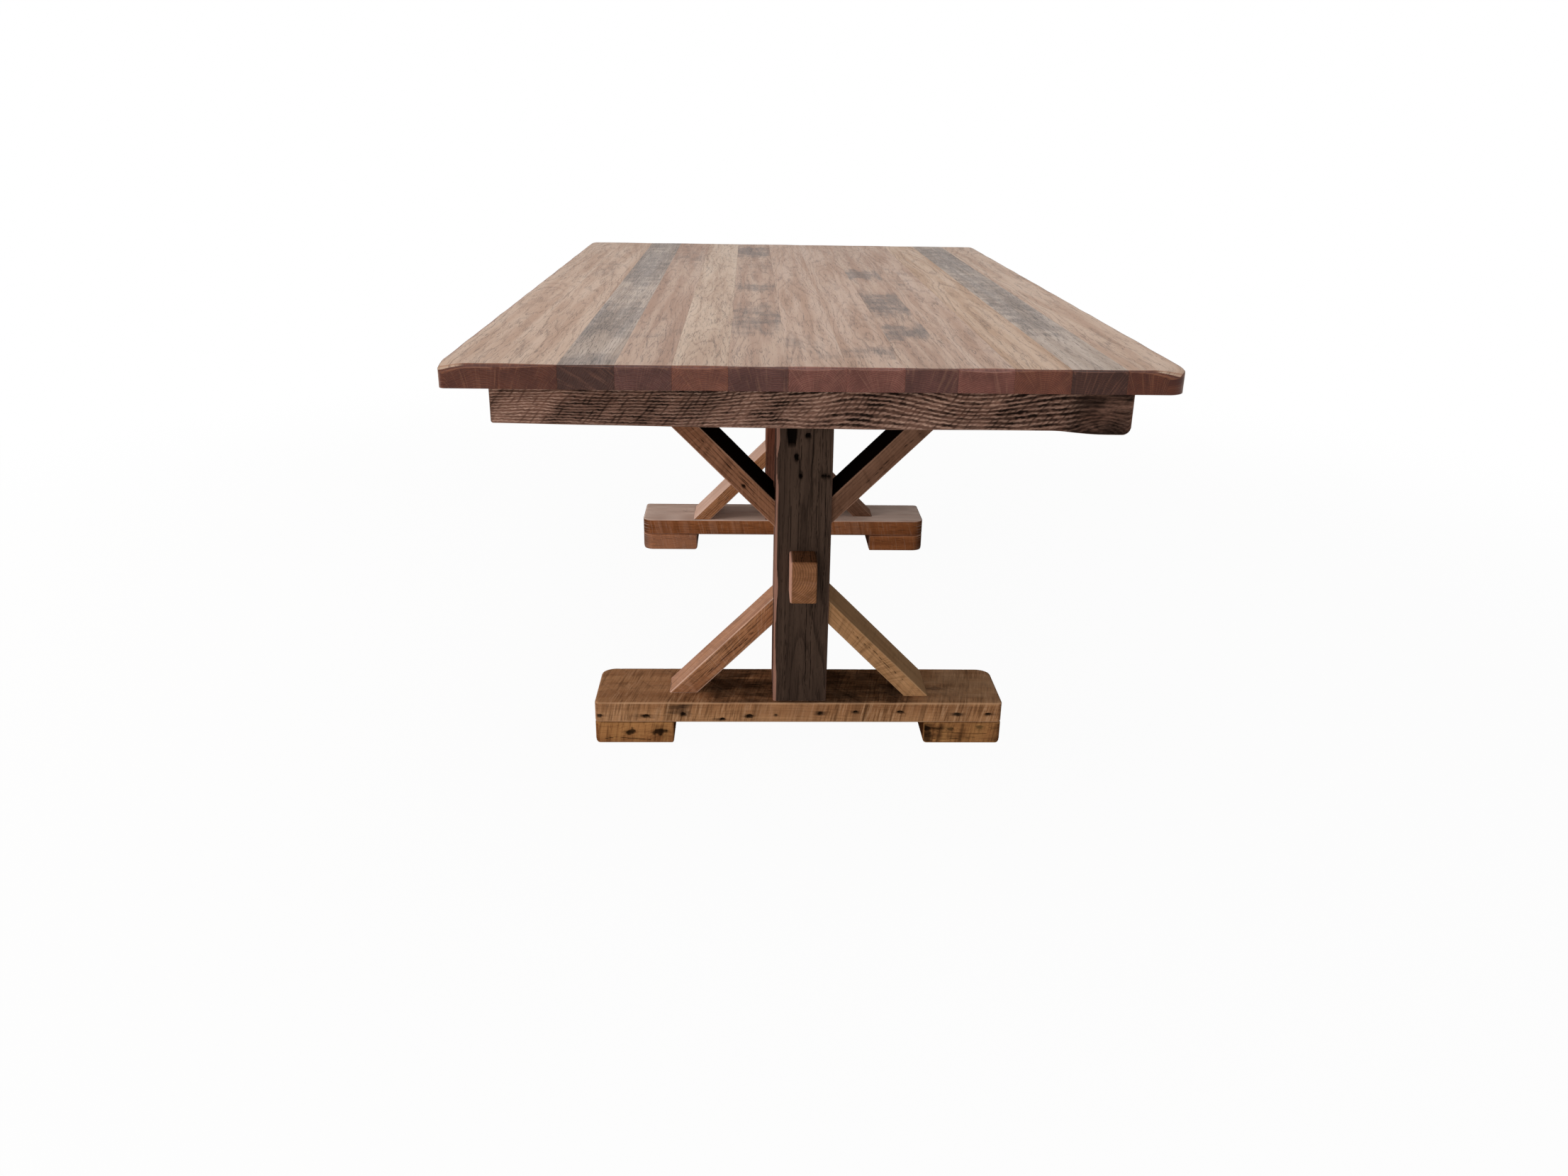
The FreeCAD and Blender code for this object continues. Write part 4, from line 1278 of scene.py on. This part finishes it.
APRON_OAK = OakFinish(
    # Oak with its soft rings worn away by weather, oiled dark: brown ridges between near-black grooves
    "oak_weathered_oiled_brown", "#87675A", "#75564A", "#553D32", "#120D0B", "#1E1613", "#6A4638", "#3C261E",
    "#D8B6A4", ring=2.4, ring_share=0.3, pore_share=0.4, smoke_and_shade_share=0.85, roughness=0.62, relief=0.35,
)
# What the two old beams of the posts share
OLD_BEAM: dict[str, Any] = {
    "ring": 4, "ripple": 0.8, "ring_share": 0.3, "pore_share": 0.4, "pore_size": (120.0, 0.75),
    "roughness": 0.55, "relief": 0.5,
}
POST_OAK = OakFinish(
    # An old beam, dark brown with dirt in its long checks
    "oak_old_beam_oiled", "#4E3F36", "#3F322B", "#2B211C", "#0E0A08", "#140D0A", "#5A4030", "#33231B",
    "#BC9080", **OLD_BEAM,
)
REAR_POST_OAK = OakFinish(
    # Another old beam, reddish brown where its dark skin has rubbed off
    "oak_old_beam_oiled_reddish", "#7E5444", "#684336", "#452B22", "#1C120E", "#241813", "#5A4030", "#33231B",
    "#B08A7A", **OLD_BEAM,
)
FOOT_OAK = OakFinish(
    # Sawn oak, oiled golden brown, with close saw lines and black iron halos
    "oak_sawn_oiled_golden", "#B58760", "#9E714E", "#5E4029", "#1D130D", "#3A281E", "#7A4C2E", "#4B2C1B",
    "#D8B08C", ring_share=0.1, pore_share=0.12, saw_share=0.75, saw_spacing=4, saw_lean=-0.2, relief=0.35,
)
REAR_FOOT_OAK = OakFinish(
    # Sawn oak, oiled reddish brown, with its upper face trodden pale and given a painted sheen
    "oak_sawn_oiled_reddish", "#A86C44", "#8F5836", "#4A2C1B", "#1D130D", "#2B1B11", "#74472B", "#45281A",
    "#F0DCD0", ring_share=0.35, pore_share=0.3, saw_share=0.15, saw_spacing=4.4, saw_lean=-0.2, relief=0.35,
)
PAD_OAK = OakFinish(
    # Knotty sawn oak, oiled chestnut, cracked and worn by the floor
    "oak_sawn_oiled_chestnut", "#B07E50", "#976842", "#5A3820", "#150D09", "#2A1910", "#74472B", "#45281A",
    "#C4955F", ring=3, sway=8, ripple=1.8, ring_share=0.14, pore_share=0.12, saw_share=0.7, saw_spacing=4.6,
    saw_lean=-0.15, roughness=0.52, relief=0.35,
)
TENON_OAK = OakFinish(
    # Sawn oak, oiled umber: darker on its upper face, tan on its rubbed end
    "oak_sawn_oiled_umber", "#7C573D", "#68462F", "#402A1C", "#160F0B", "#4A3C34", "#9A6C4C", "#6A472F",
    "#C89E8E", ring=3.6, sway=4, ripple=0.8, pore_share=0.6, smoke_and_shade_share=0.85, ray_share=0.1, end_ring=4.6,
    saw_share=0.25, relief=0.3,
)
INNER_OAK = OakFinish(
    # Bare oak of the hidden pieces, straight from the saw
    "oak_sawn_bare", "#A98560", "#96714C", "#76543A", "#4A3527", "#5A4334", "#8A6242", "#5E4029", "#B99470",
    ring=3, roughness=0.65, gloss=0.3, grain=Grain.SOLID,
)


class BraceTone(Enum):
    """Tones of the braces, as planed and oiled oak: each was cut from another old timber."""

    RED = OakFinish(
        # Reddish brown, with pale edges that are partly rubbed and partly painted highlights
        "oak_planed_oiled_red", "#B98660", "#9C6A4A", "#6C4630", "#24160F", "#2E1C12", "#7A4E32", "#4A2D1D",
        "#E6C8B8", ring=3.6, ring_share=0.5, pore_share=0.45, saw_share=0.22, saw_spacing=4, saw_lean=0.35,
    )
    YELLOW = OakFinish(
        # Yellowish brown with plain saw lines
        "oak_planed_oiled_yellow", "#BE9269", "#A37851", "#6E4F34", "#2A1C12", "#3B2719", "#7A5432",
        "#4A2F1D", "#C9A27A", ring=4, ring_share=0.35, pore_share=0.15, saw_share=0.5, saw_spacing=4,
        saw_lean=-0.2,
    )
    BROWN = OakFinish(
        # Deep brown with wide, strong rings, nearly black where painted shade lies on it
        "oak_planed_oiled_brown", "#8A6048", "#724B37", "#482D1F", "#20130C", "#0C0806", "#7A4E32", "#4A2D1D",
        "#C49A82", ring=4.6, line=0.45, sway=3, ripple=0.8, ring_share=0.55, pore_size=(70.0, 0.8),
        smoke_and_shade_share=0.97, saw_share=0.2, saw_lean=0.3,
    )
    RUSSET = OakFinish(
        # Dusky brown, nearly black where painted shade lies on it
        "oak_planed_oiled_russet", "#7E5E4C", "#6A4C3C", "#483024", "#1F130D", "#0C0806", "#7A4E32",
        "#4A2D1D", "#B48C76", ring=5, line=0.45, sway=4, ripple=0.8, ring_share=0.4, pore_share=0.25,
        smoke_and_shade_share=0.97, saw_share=0.15, saw_lean=0.3,
    )


@dataclass(frozen=True)
class Aprons:
    """The aprons under the top: two ends with natural lower edges, two straight sides.

    A timber's upper face looks outwards and its right edge is its top edge.
    """

    easing: float = 2
    # Place along an end apron, and the distance between its grooves there
    end_spacing: Table = ((-480, 4.2), (-150, 4.8), (100, 6.2), (300, 8.0), (480, 8.4))
    # Place along as a share of the length, and the height there as a share of the greatest
    edge: Table = (
        (-0.5, 0.8565), (-0.22, 0.9074), (0.05, 0.9259), (0.384, 0.9259), (0.415, 0.9676), (0.443, 0.9954),
        (0.48, 1.0),
    )
    end_bumps: Table = ((100, 30, -14, 100, 45), (250, 30, 18, 75, 45), (437, -30, -26, 34, 20))
    side_bumps: Table = ((-300, 30, 18, 120, 45),)

    def build(self) -> None:
        """Builds the four aprons; the points of the front one, which shows most, are closest."""
        for node, along, seed, fine in (("front_apron", AXIS_X, 3, 0.78), ("rear_apron", -AXIS_X, 23, 1.2)):
            marks = [
                WavyEdge(self.edge),
                RoundedCorner(END, LEFT, 13),
                RoundedCorner(START, LEFT, 4),
                WeatheredGrain(
                    ABOVE, calm=370, spacing=self.end_spacing, depth=1.5, sway=8, bumps=self.end_bumps,
                    seed=seed, faint=0.72,
                ),
                # Painted shadow of the top's overhang: a dark band along the whole upper edge
                Stain(ABOVE, 0, 700, 40, 22, 0.8),
                Stain(ABOVE, 425, 60, -37, 7, 0.95, "cut"),
                FaceTone(ABOVE, "stain_and_shade", 0.85, 390, FAR, 40, 0.4),
                RubbedEdgesAndHighlights(0.25, seed + 7),
                Knot(ABOVE, 437, -24, 7, 16, 0.3),
            ]
            self.apron(node, along, seed, marks, 2, (6, fine, 2.5, 5, 1.5), 200)
        for node, along, seed in (("right_apron", AXIS_Y, 33), ("left_apron", -AXIS_Y, 43)):
            marks = [
                WeatheredGrain(
                    ABOVE, calm=FAR, spacing=((0, 5.6),), depth=1.4, sway=9, bumps=self.side_bumps, seed=seed
                )
            ]
            self.apron(node, along, seed, marks, 1, (6, 1.1, 3, 5, 4), 500)

    def apron(
        self, node: str, along: Array, seed: int, marks: list[Mark], rim: float, grid: tuple, heart: float
    ) -> None:
        """Builds one apron.

        Args:
            node: its solid.
            along: direction of its length.
            seed: picks its hills.
            marks: what was done to it, apart from slow hollows.
            rim: easing of its ends.
            grid: distances between the points of its mesh.
            heart: place of the tree's heart along it.
        """
        seat, size = Seat.of_node(node, along, AXIS_Z)
        marks.append(Hollows((ABOVE, LEFT), 1.2, 90, 40, seed + 9))
        timber = Timber(node, seat, size, marks, self.easing, rim, grid, heart=(heart, 110, -30))
        timber.place(APRON_OAK, "apron_oak")


class End(Enum):
    """An end of the table: the solids' prefix and the turn of its trestle about the upright."""

    FRONT = ("front", 1)
    REAR = ("rear", -1)


@dataclass(frozen=True)
class Trestle:
    """One end's trestle: a post on a wide foot with two pads, a bearer on its head and four braces.

    The rear one is the same trestle turned half round. Places are in millimetres from the trestle's middle
    and from the floor. Left and right, -1 and 1, are the trestle's own, as its outer face shows them.
    """

    end: End
    # Radius of the foot's and the pads' corners on the outer and the inner face
    corners: tuple[tuple[Face, float], ...] = ((LEFT, 10), (RIGHT, 28))
    # Nail holes on the foot's outer face: place along, height, radius, stretch
    foot_nails: Table = (
        (-370, 56, 2.8, 1.6), (-285, 56, 2.6, 2.4), (-215, 60, 3.4, 1.3), (-143, 49, 2.6, 1.8),
        (-92, 56, 3.0, 2.0), (-43, 58, 1.8, 1.4), (39, 62, 2.4, 1.7), (105, 65, 2.2, 1.6),
        (188, 65, 2.4, 2.6), (296, 60, 2.2, 2.8), (353, 61, 2.4, 2.2),
    )
    # Nail holes on the post's outer face: height, place across, radius, depth, halo
    post_nails: Table = (
        (552, -15, 3.4, 8, 0.8), (547, -14, 3.0, 8, 0.8), (516, -6, 3.0, 8, 0.8),
        (516, 32, 2.4, 6, 0.6), (516, 37, 2.4, 6, 0.6), (516, 42, 2.4, 6, 0.6),
    )
    # Checks on it: lower and upper end, place across, width
    post_checks: Table = (
        (88, 300, 9, 1.8), (330, 640, -7, 1.3), (400, 640, 14, 1.5), (250, 560, 24, 1.2), (95, 330, 19, 1.2),
        (280, 640, 38, 1.4), (120, 250, -28, 1.1), (300, 470, -21, 1.0), (440, 640, 31, 1.2),
    )
    # Knots on a pad's outer face, left and right: place along, height, radius
    pad_knots: ClassVar[dict[int, Table]] = {
        -1: ((-313, 23, 6), (-258, 23, 7.5)),
        1: ((238, 31, 6.5), (284, 29, 4), (339, 33, 4.5)),
    }
    # By side and by rise, 1 from the foot or -1 from the bearer: a brace's depth, its front and its rear tone
    braces: ClassVar[dict[tuple[int, int], tuple[float, BraceTone, BraceTone]]] = {
        (-1, 1): (38, BraceTone.RED, BraceTone.RUSSET),
        (1, 1): (33, BraceTone.YELLOW, BraceTone.RED),
        (-1, -1): (35, BraceTone.BROWN, BraceTone.RED),
        (1, -1): (37, BraceTone.RUSSET, BraceTone.BROWN),
    }

    @property
    def front(self) -> bool:
        """Whether this is the front end's trestle."""
        return self.end is End.FRONT

    @property
    def turn(self) -> int:
        """1 at the front end, -1 at the rear end."""
        return self.end.value[1]

    def node(self, piece: str, side: int = 0) -> str:
        """Name of one of this end's solids, on the trestle's own left or right where it has a side."""
        place = {0: "", 1: "right_", -1: "left_"}[side * self.turn]
        return f"{self.end.value[0]}_{place}{piece}"

    def lying(self, node: str) -> tuple[Seat, Array]:
        """Seat and size of a timber across the end: its left face looks out, its upper face upwards."""
        return Seat.of_node(node, self.turn * AXIS_X, self.turn * AXIS_Y)

    def ledges(self) -> tuple[float, float]:
        """Heights of the foot's upper face and of the bearer's lower face."""
        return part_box(self.node("foot"))[1][2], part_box(self.node("bearer"))[0][2]

    def build(self) -> None:
        """Builds the trestle from the floor up."""
        self.foot()
        self.pad(-1)
        self.pad(1)
        self.post()
        self.bearer()
        for side, rise in self.braces:
            self.brace(side, rise)

    def foot(self) -> None:
        """The foot: its upper face dark round the post with dirt and painted shade, and trodden paler towards
        its ends.
        """
        node = self.node("foot")
        seat, size = self.lying(node)
        middle = seat.middle[2] / MM
        seed = 60 if self.front else 70
        marks: list[Mark] = [RoundedCorner(end, *corner) for end in (START, END) for corner in self.corners]
        marks += [
            SawKerfs(LEFT, 6.5, 0.5, -0.2, 0.3, seed),
            SawKerfs(RIGHT, 6.5, 0.4, -0.2, 0.2, seed + 2),
            SawKerfs(ABOVE, 4, 0.25, 0.8, 0.22, seed + 4),
            Hollows((LEFT, RIGHT, ABOVE), 0.9, 120, 40, seed + 6),
            RubbedEdgesAndHighlights(0.9 if self.front else 0.2, seed + 8),
        ]
        marks += [
            NailHole(LEFT, along, height - middle, radius, 6, 0.8, stretch)
            for along, height, radius, stretch in self.foot_nails
        ]
        marks.append(Knot(ABOVE, 260, -10, 8, 10, 0.4))
        if self.front:
            marks += [
                Stain(LEFT, -223, 22, 6, 13, 1.0),
                # Dirt and painted shade on the upper face round the post, under the top
                FaceTone(ABOVE, "stain_and_shade", 1.1, -150, 190, ragged=0.3),
                FaceTone(ABOVE, "stain_and_shade", 0.3, -250, 240, ragged=0.5),
                FaceTone(ABOVE, "worn_and_highlight", 0.22, -FAR, -260, ragged=0.8),
                FaceTone(ABOVE, "worn_and_highlight", 0.68, 260, FAR, ragged=0.8),
            ]
        else:
            # Painted sheen, with wear: the whole upper face is painted pale
            marks.append(FaceTone(ABOVE, "worn_and_highlight", 1.25, ragged=0.3))
        timber = Timber(
            node, seat, size, marks, easing=4, rim=4, grid=(4, 2.4, 1.5, 6, 2.4), heart=(100, 20, -75)
        )
        timber.place(FOOT_OAK if self.front else REAR_FOOT_OAK, TRESTLE_SLOT)

    def pad(self, side: int) -> None:
        """A pad under one end of the foot, with the outer corners rounded as the foot's are.

        Args:
            side: the end of the foot.
        """
        node = self.node("pad", side)
        seat, size = self.lying(node)
        centre, middle = self.turn * seat.middle[0] / MM, seat.middle[2] / MM
        inner, outer = (START, END)[::side]
        seed = 80 + 3 * side + 10 * self.turn
        marks: list[Mark] = [RoundedCorner(outer, *corner) for corner in self.corners]
        marks += [RoundedCorner(outer, BELOW, 7), RoundedCorner(inner, BELOW, 6 + 2 * side)]
        marks += [
            Knot(LEFT, along - centre, height - middle, radius, 7)
            for along, height, radius in self.pad_knots[side]
        ]
        marks += [
            SawKerfs(LEFT, 6, 0.5, -0.15, 0.45 + 0.3 * side, seed),
            Hollows((LEFT, RIGHT, ABOVE), 1.2, 60, 24, seed + 2),
            Check(LEFT, -60, 30, -12, 2.2, 3, 3, seed + 4),
            RubbedEdgesAndHighlights(0.6 if self.front else 0.15, seed + 6),
        ]
        if side > 0:
            marks += [
                Check(LEFT, -50, 65, 2, 2.4, 5, 4, seed + 5),
                Check(LEFT, -70, -30, 9, 3.5, 6, 2, seed + 8),
                Stain(LEFT, -66, 12, -8, 16, 1.3),
                FaceTone(LEFT, "stain_and_shade", 1.0, ragged=0.8),
                FaceTone(RIGHT, "worn_and_highlight", 0.1),
            ]
        timber = Timber(
            node, seat, size, marks, easing=4, rim=3, grid=(3.5, 4, 1.3, 6, 2), heart=(300 * side, 30, 60)
        )
        timber.place(PAD_OAK if self.front else REAR_FOOT_OAK, TRESTLE_SLOT)

    def post(self) -> None:
        """The post, between the foot and the bearer: its lower face looks out of the end of the table."""
        node = self.node("post")
        low, high = corners_of(node)
        low[2], high[2] = self.ledges()
        seat = Seat.facing((low + high) / 2, AXIS_Z, self.turn * AXIS_X)
        middle = seat.middle[2] / MM
        seed = 100 if self.front else 120
        marks: list[Mark] = [
            Hollows(SIDES, 1.4, 150, 30, seed),
            RubbedEdgesAndHighlights(0.15, seed + 2),
            # Painted light: the left face and its arris are painted pale where light from the left falls on
            # them
            WornArris(LEFT, BELOW, self.post_wear, 0.8, 0.6),
            FaceTone(LEFT, "worn_and_highlight", 0.75, ragged=0.75, least=0.3),
            FaceTone(RIGHT, "worn_and_highlight", 0.25, ragged=0.8),
            OldMortise(BELOW, (568 - middle, 640 - middle), (-30, -14), 22),
            NailHole(BELOW, 588 - middle, 5, 3.6, 9, 0.8, square=True),
            Check(BELOW, 516 - middle, 549 - middle, -10, 2.4, 5, 3, seed + 1),
        ]
        marks += [NailHole(BELOW, height - middle, *nail) for height, *nail in self.post_nails]
        marks += [
            Check(BELOW, start - middle, end - middle, across, width, 3, 1.5, seed + 20 + place)
            for place, (start, end, across, width) in enumerate(self.post_checks)
        ]
        timber = Timber(
            node, seat, np.roll(high - low, 1), marks, easing=4, rim=1, grid=(3.5, 2.5, 3.5, 0.9, 2.5),
            heart=(200, 10, 20),
        )
        timber.place(POST_OAK if self.front else REAR_POST_OAK, TRESTLE_SLOT)

    @staticmethod
    def post_wear(skin: Skin) -> Array:
        """Width of a post's rubbed arris: hills along it, from 1 to 7 mm."""
        return 4 + 3 * rolling(57, skin.base[..., 0] / 45)

    def bearer(self) -> None:
        """The bearer across the post's head."""
        node = self.node("bearer")
        seed = 160 if self.front else 180
        sawn = (LEFT, RIGHT, BELOW)
        marks = [SawKerfs(face, 8, 0.5, 0.1, 0.5, seed + 2 * step) for step, face in enumerate(sawn)]
        marks.append(Hollows(sawn, 0.9, 120, 40, seed + 6))
        timber = Timber(
            node, *self.lying(node), marks, easing=3, rim=2, grid=(4, 8, 4, 4, 5), heart=(500, 30, 70)
        )
        timber.place(POST_OAK, TRESTLE_SLOT)

    def brace(self, side: int, rise: int) -> None:
        """A brace at 45 degrees, in the corner of the post and the foot or the bearer.

        Args:
            side: -1 for the trestle's own left, 1 for its right.
            rise: 1 for a brace that stands on the foot, -1 for one that hangs from the bearer.
        """
        node = self.node("lower_brace" if rise > 0 else "upper_brace", side)
        low, high = corners_of(node)
        way = side * self.turn
        outer = 1 if way > 0 else 0
        face = corners_of(self.node("post"))[outer, 0]
        ledge = self.ledges()[0 if rise > 0 else 1]
        depth, *tones = self.braces[side, rise]
        run = abs((low, high)[outer][0] - face) - depth * MM / math.sqrt(2)
        corner = np.array([face, (low[1] + high[1]) / 2, ledge])
        on_post, on_ledge = corner + rise * run * AXIS_Z, corner + way * run * AXIS_X
        length = np.linalg.norm(on_ledge - on_post)
        through = (way * AXIS_X + rise * AXIS_Z) / math.sqrt(2)
        along = (on_ledge - on_post) / length
        seat = Seat.facing((on_post + on_ledge) / 2, along, np.cross(through, along))
        front, right, left = (RIGHT, 1.4, 4) if seat.axes[1] @ AXIS_Y * self.turn < 0 else (LEFT, 4, 1.4)
        seed = 140 + 10 * side + 3 * rise + 40 * self.turn
        marks: list[Mark] = [
            MitredEnds(),
            Hollows(SIDES, 0.8, 70, 26, seed),
            SawKerfs(front, 7, 0.25, 0.3, 0.2, seed + 1),
            Check(front, -70, 80, 4 * side, 1.5, 2.5, 3, seed + 3),
            RubbedEdgesAndHighlights(1.0, seed + 4),
        ]
        if rise > 0:
            # Painted light: the upper face of a lower brace is painted paler, as if lit more than its front
            worn_and_highlight, ragged = (0.7 + 0.3 * side, 0.5) if self.front else (1.1 + 0.15 * side, 0.3)
            marks.append(FaceTone(ABOVE, "worn_and_highlight", worn_and_highlight, ragged=ragged))
        else:
            # Painted shade: the upper brace's upward face, under the top, is painted nearly black
            marks.append(FaceTone(BELOW, "stain_and_shade", 2.0))
            # Painted shade on the front face towards the bearer
            shaded = FaceTone(front, "stain_and_shade", 0.45, 40, ragged=0.5)
            marks.append(shaded if side > 0 else NailHole(front, -55, 3, 2.4, 6, 0.6, 1.3))
        size = np.array([length, high[1] - low[1], depth * MM])
        timber = Timber(
            node, seat, size, marks, easing=3, rim=0.5, grid=(right, 3, left, 3, 2.2),
            heart=(310 * side + 170 * rise, 20 * side, -50),
        )
        timber.place(tones[0 if self.front else 1].value, TRESTLE_SLOT)


@dataclass(frozen=True)
class Stretcher:
    """The rail between the posts, with a tenon through each of them."""

    tenon_height: float = 78
    tip_easing: float = 4.5
    tip_reach: float = 60

    def build(self) -> None:
        """Builds the stretcher, stepped down to its tenons at the posts' inner faces."""
        seat, size = Seat.of_node("stretcher", AXIS_Y, AXIS_X)
        length, _, height = size / MM
        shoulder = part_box("rear_post")[0][1] / MM
        inner = length / 2 - self.tip_reach
        marks = [
            TenonEnds(shoulder, self.tenon_height / height),
            Hollows(SIDES, 0.8, 130, 35, 200),
            SawKerfs(LEFT, 6, 0.3, 0.2, 0.3, 201),
            SawKerfs(RIGHT, 6, 0.3, 0.2, 0.3, 203),
            FaceTone(BELOW, "stain_and_shade", 0.15),
            FaceTone(BELOW, "cut", 0.05, -FAR, -inner, 4, least=0.3),
            FaceTone(BELOW, "cut", 0.05, inner, FAR, 4, least=0.3),
            # Painted light: the left face, lit from the left, is painted pale
            FaceTone(LEFT, "worn_and_highlight", 1.0, ragged=0.2, least=0.1),
        ]
        timber = Timber(
            "stretcher", seat, size, marks, easing=5, rim=self.tip_easing, grid=(3, 3, 3, 3, 5),
            heart=(400, -90, -25), fine_ends=70, fine_spacing=2.5, shoulders=(shoulder,),
        )
        timber.place(TENON_OAK, TRESTLE_SLOT)


@dataclass(frozen=True)
class HiddenPieces:
    """Pieces that stay as their solids and only get a finish."""

    oak_words: tuple[str, ...] = ("button", "block", "spline", "peg")
    steel_words: tuple[str, ...] = ("screw", "washer")

    def build(self) -> None:
        """Gives zinc to screws and washers, and bare oak to blocks, buttons, pegs and splines."""
        choices = ((self.steel_words, ZincSteel().material()), (self.oak_words, INNER_OAK.material()))
        for name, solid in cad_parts.items():
            chosen = next((made for words, made in choices if any(word in name for word in words)), None)
            if chosen:
                solid.data.materials.clear()
                solid.data.materials.append(chosen)
                LOG.info("%s: %s", name, chosen.name)


@dataclass(frozen=True)
class Lamp:
    """A soft square lamp."""

    name: str
    place: Point
    target: Point
    size: float
    power: float
    colour: str

    def hang(self) -> None:
        """Hangs the lamp and aims it."""
        light = bpy.data.lights.new(self.name, "AREA")
        light.shape = "SQUARE"
        light.size = self.size
        light.energy = self.power
        light.color = linear(self.colour)[:3]
        lamp = bpy.data.objects.new(self.name, light)
        lamp.location = self.place
        lamp.rotation_euler = (Vector(self.target) - Vector(self.place)).to_track_quat("-Z", "Y").to_euler()
        bpy.context.scene.collection.objects.link(lamp)


@dataclass(frozen=True)
class Studio:
    """A pale floor, a white surround, soft lamps and the camera."""

    lens: float = 27.604
    sensor: float = 36.0
    eye: Point = (-0.0985, -2.6181, 1.0867)
    yaw: float = math.radians(-1.8985)
    pitch: float = math.radians(21.189)
    roll: float = math.radians(0.9507)
    floor_reach: float = 30.0
    floor_drop: float = 0.4 * MM
    ambient: float = 0.24
    floor_glow: float = 0.96
    floor_clear: tuple[float, float] = (1.3, 3.2)
    lamps: tuple[Lamp, ...] = (
        Lamp("window_left", (-3.2, -0.5, 1.3), (0, -0.4, 0.4), 2.2, 66, "#FFF0E8"),
        Lamp("skylight", (0.1, -0.3, 3.4), (0, -0.2, 0.7), 2.8, 52, "#FFFFFF"),
        Lamp("front_fill", (-0.5, -4.4, 0.8), (0, -0.6, 0.4), 2.2, 70, "#FFF8F0"),
    )

    def build(self) -> None:
        """Sets up everything round the table."""
        bpy.context.scene.view_settings.view_transform = "Standard"
        self.floor()
        self.surround()
        for lamp in self.lamps:
            lamp.hang()
        self.camera()

    @staticmethod
    def seen(nodes: Nodes) -> Socket:
        """Tells what is looked at from what only gives light.

        Args:
            nodes: the nodes to add to.

        Returns:
            1 for what the camera sees directly, in a gloss or through glass, else 0.
        """
        path = nodes.add("LightPath").node.outputs
        either = nodes.add("Math:MAXIMUM", path["Is Camera Ray"], path["Is Glossy Ray"])
        return nodes.add("Math:MAXIMUM", either, path["Is Transmission Ray"])

    def floor(self) -> None:
        """A matt white floor that glows where it is looked at: it stays white but keeps the shadow."""
        sides = (-self.floor_reach, self.floor_reach)
        corners = [(across, along, -self.floor_drop) for along in sides for across in sides]
        mesh = bpy.data.meshes.new("studio_floor")
        mesh.from_pydata(corners, [], [(0, 1, 3, 2)])
        paint = bpy.data.materials.new("matt_white_floor_paint")
        nodes = Nodes(paint)
        place = nodes.add("TexCoord", out="Object")
        # Clouds of the paint about 300 mm across
        cloud = nodes.add("TexNoise", Vector=place, Scale=3, Detail=3)
        matt = nodes.add("BsdfDiffuse", Color=nodes.add("MapRange", cloud, 0, 1, 0.58, 0.62))
        glow = nodes.add("Emission", Color=(1, 1, 1, 1), Strength=1.0)
        away = nodes.add("VectorMath:LENGTH", place, out="Value")
        share = nodes.add("MapRange:SMOOTHSTEP", away, *self.floor_clear, self.floor_glow, 1)
        amount = nodes.add("Math:MULTIPLY", self.seen(nodes), share)
        nodes.add("OutputMaterial", Surface=nodes.add("MixShader", amount, matt, glow))
        mesh.materials.append(paint)
        floor = bpy.data.objects.new("studio_floor", mesh)
        bpy.context.scene.collection.objects.link(floor)

    def surround(self) -> None:
        """A surround that is white to look at and lights the table more softly."""
        world = bpy.data.worlds.new("studio")
        bpy.context.scene.world = world
        nodes = Nodes(world)
        strength = nodes.add("MapRange", self.seen(nodes), 0, 1, self.ambient, 1)
        light = nodes.add("Background", Color=(1, 1, 1, 1), Strength=strength)
        nodes.add("OutputWorld", Surface=light)

    def camera(self) -> None:
        """Stands the camera where the picture was taken from, turned by yaw, pitch and roll."""
        turns = ((self.yaw, "Z"), (math.pi / 2 - self.pitch, "X"), (self.roll, "Z"))
        yaw, pitch, roll = (Matrix.Rotation(angle, 4, axis) for angle, axis in turns)
        data = bpy.data.cameras.new("camera")
        data.lens = self.lens
        data.sensor_width = self.sensor
        data.sensor_fit = "HORIZONTAL"
        camera = bpy.data.objects.new("camera", data)
        camera.matrix_world = Matrix.Translation(self.eye) @ yaw @ pitch @ roll
        bpy.context.scene.collection.objects.link(camera)
        bpy.context.scene.camera = camera


def main() -> None:
    """Builds the studio and the table, piece by piece."""
    logging.basicConfig(level=logging.INFO, format="%(name)s: %(message)s")
    Studio().build()
    for assembly in (TableTop(), Aprons(), *map(Trestle, End), Stretcher(), HiddenPieces()):
        LOG.info("building %s", type(assembly).__name__)
        assembly.build()


if __name__ == "__main__":
    main()
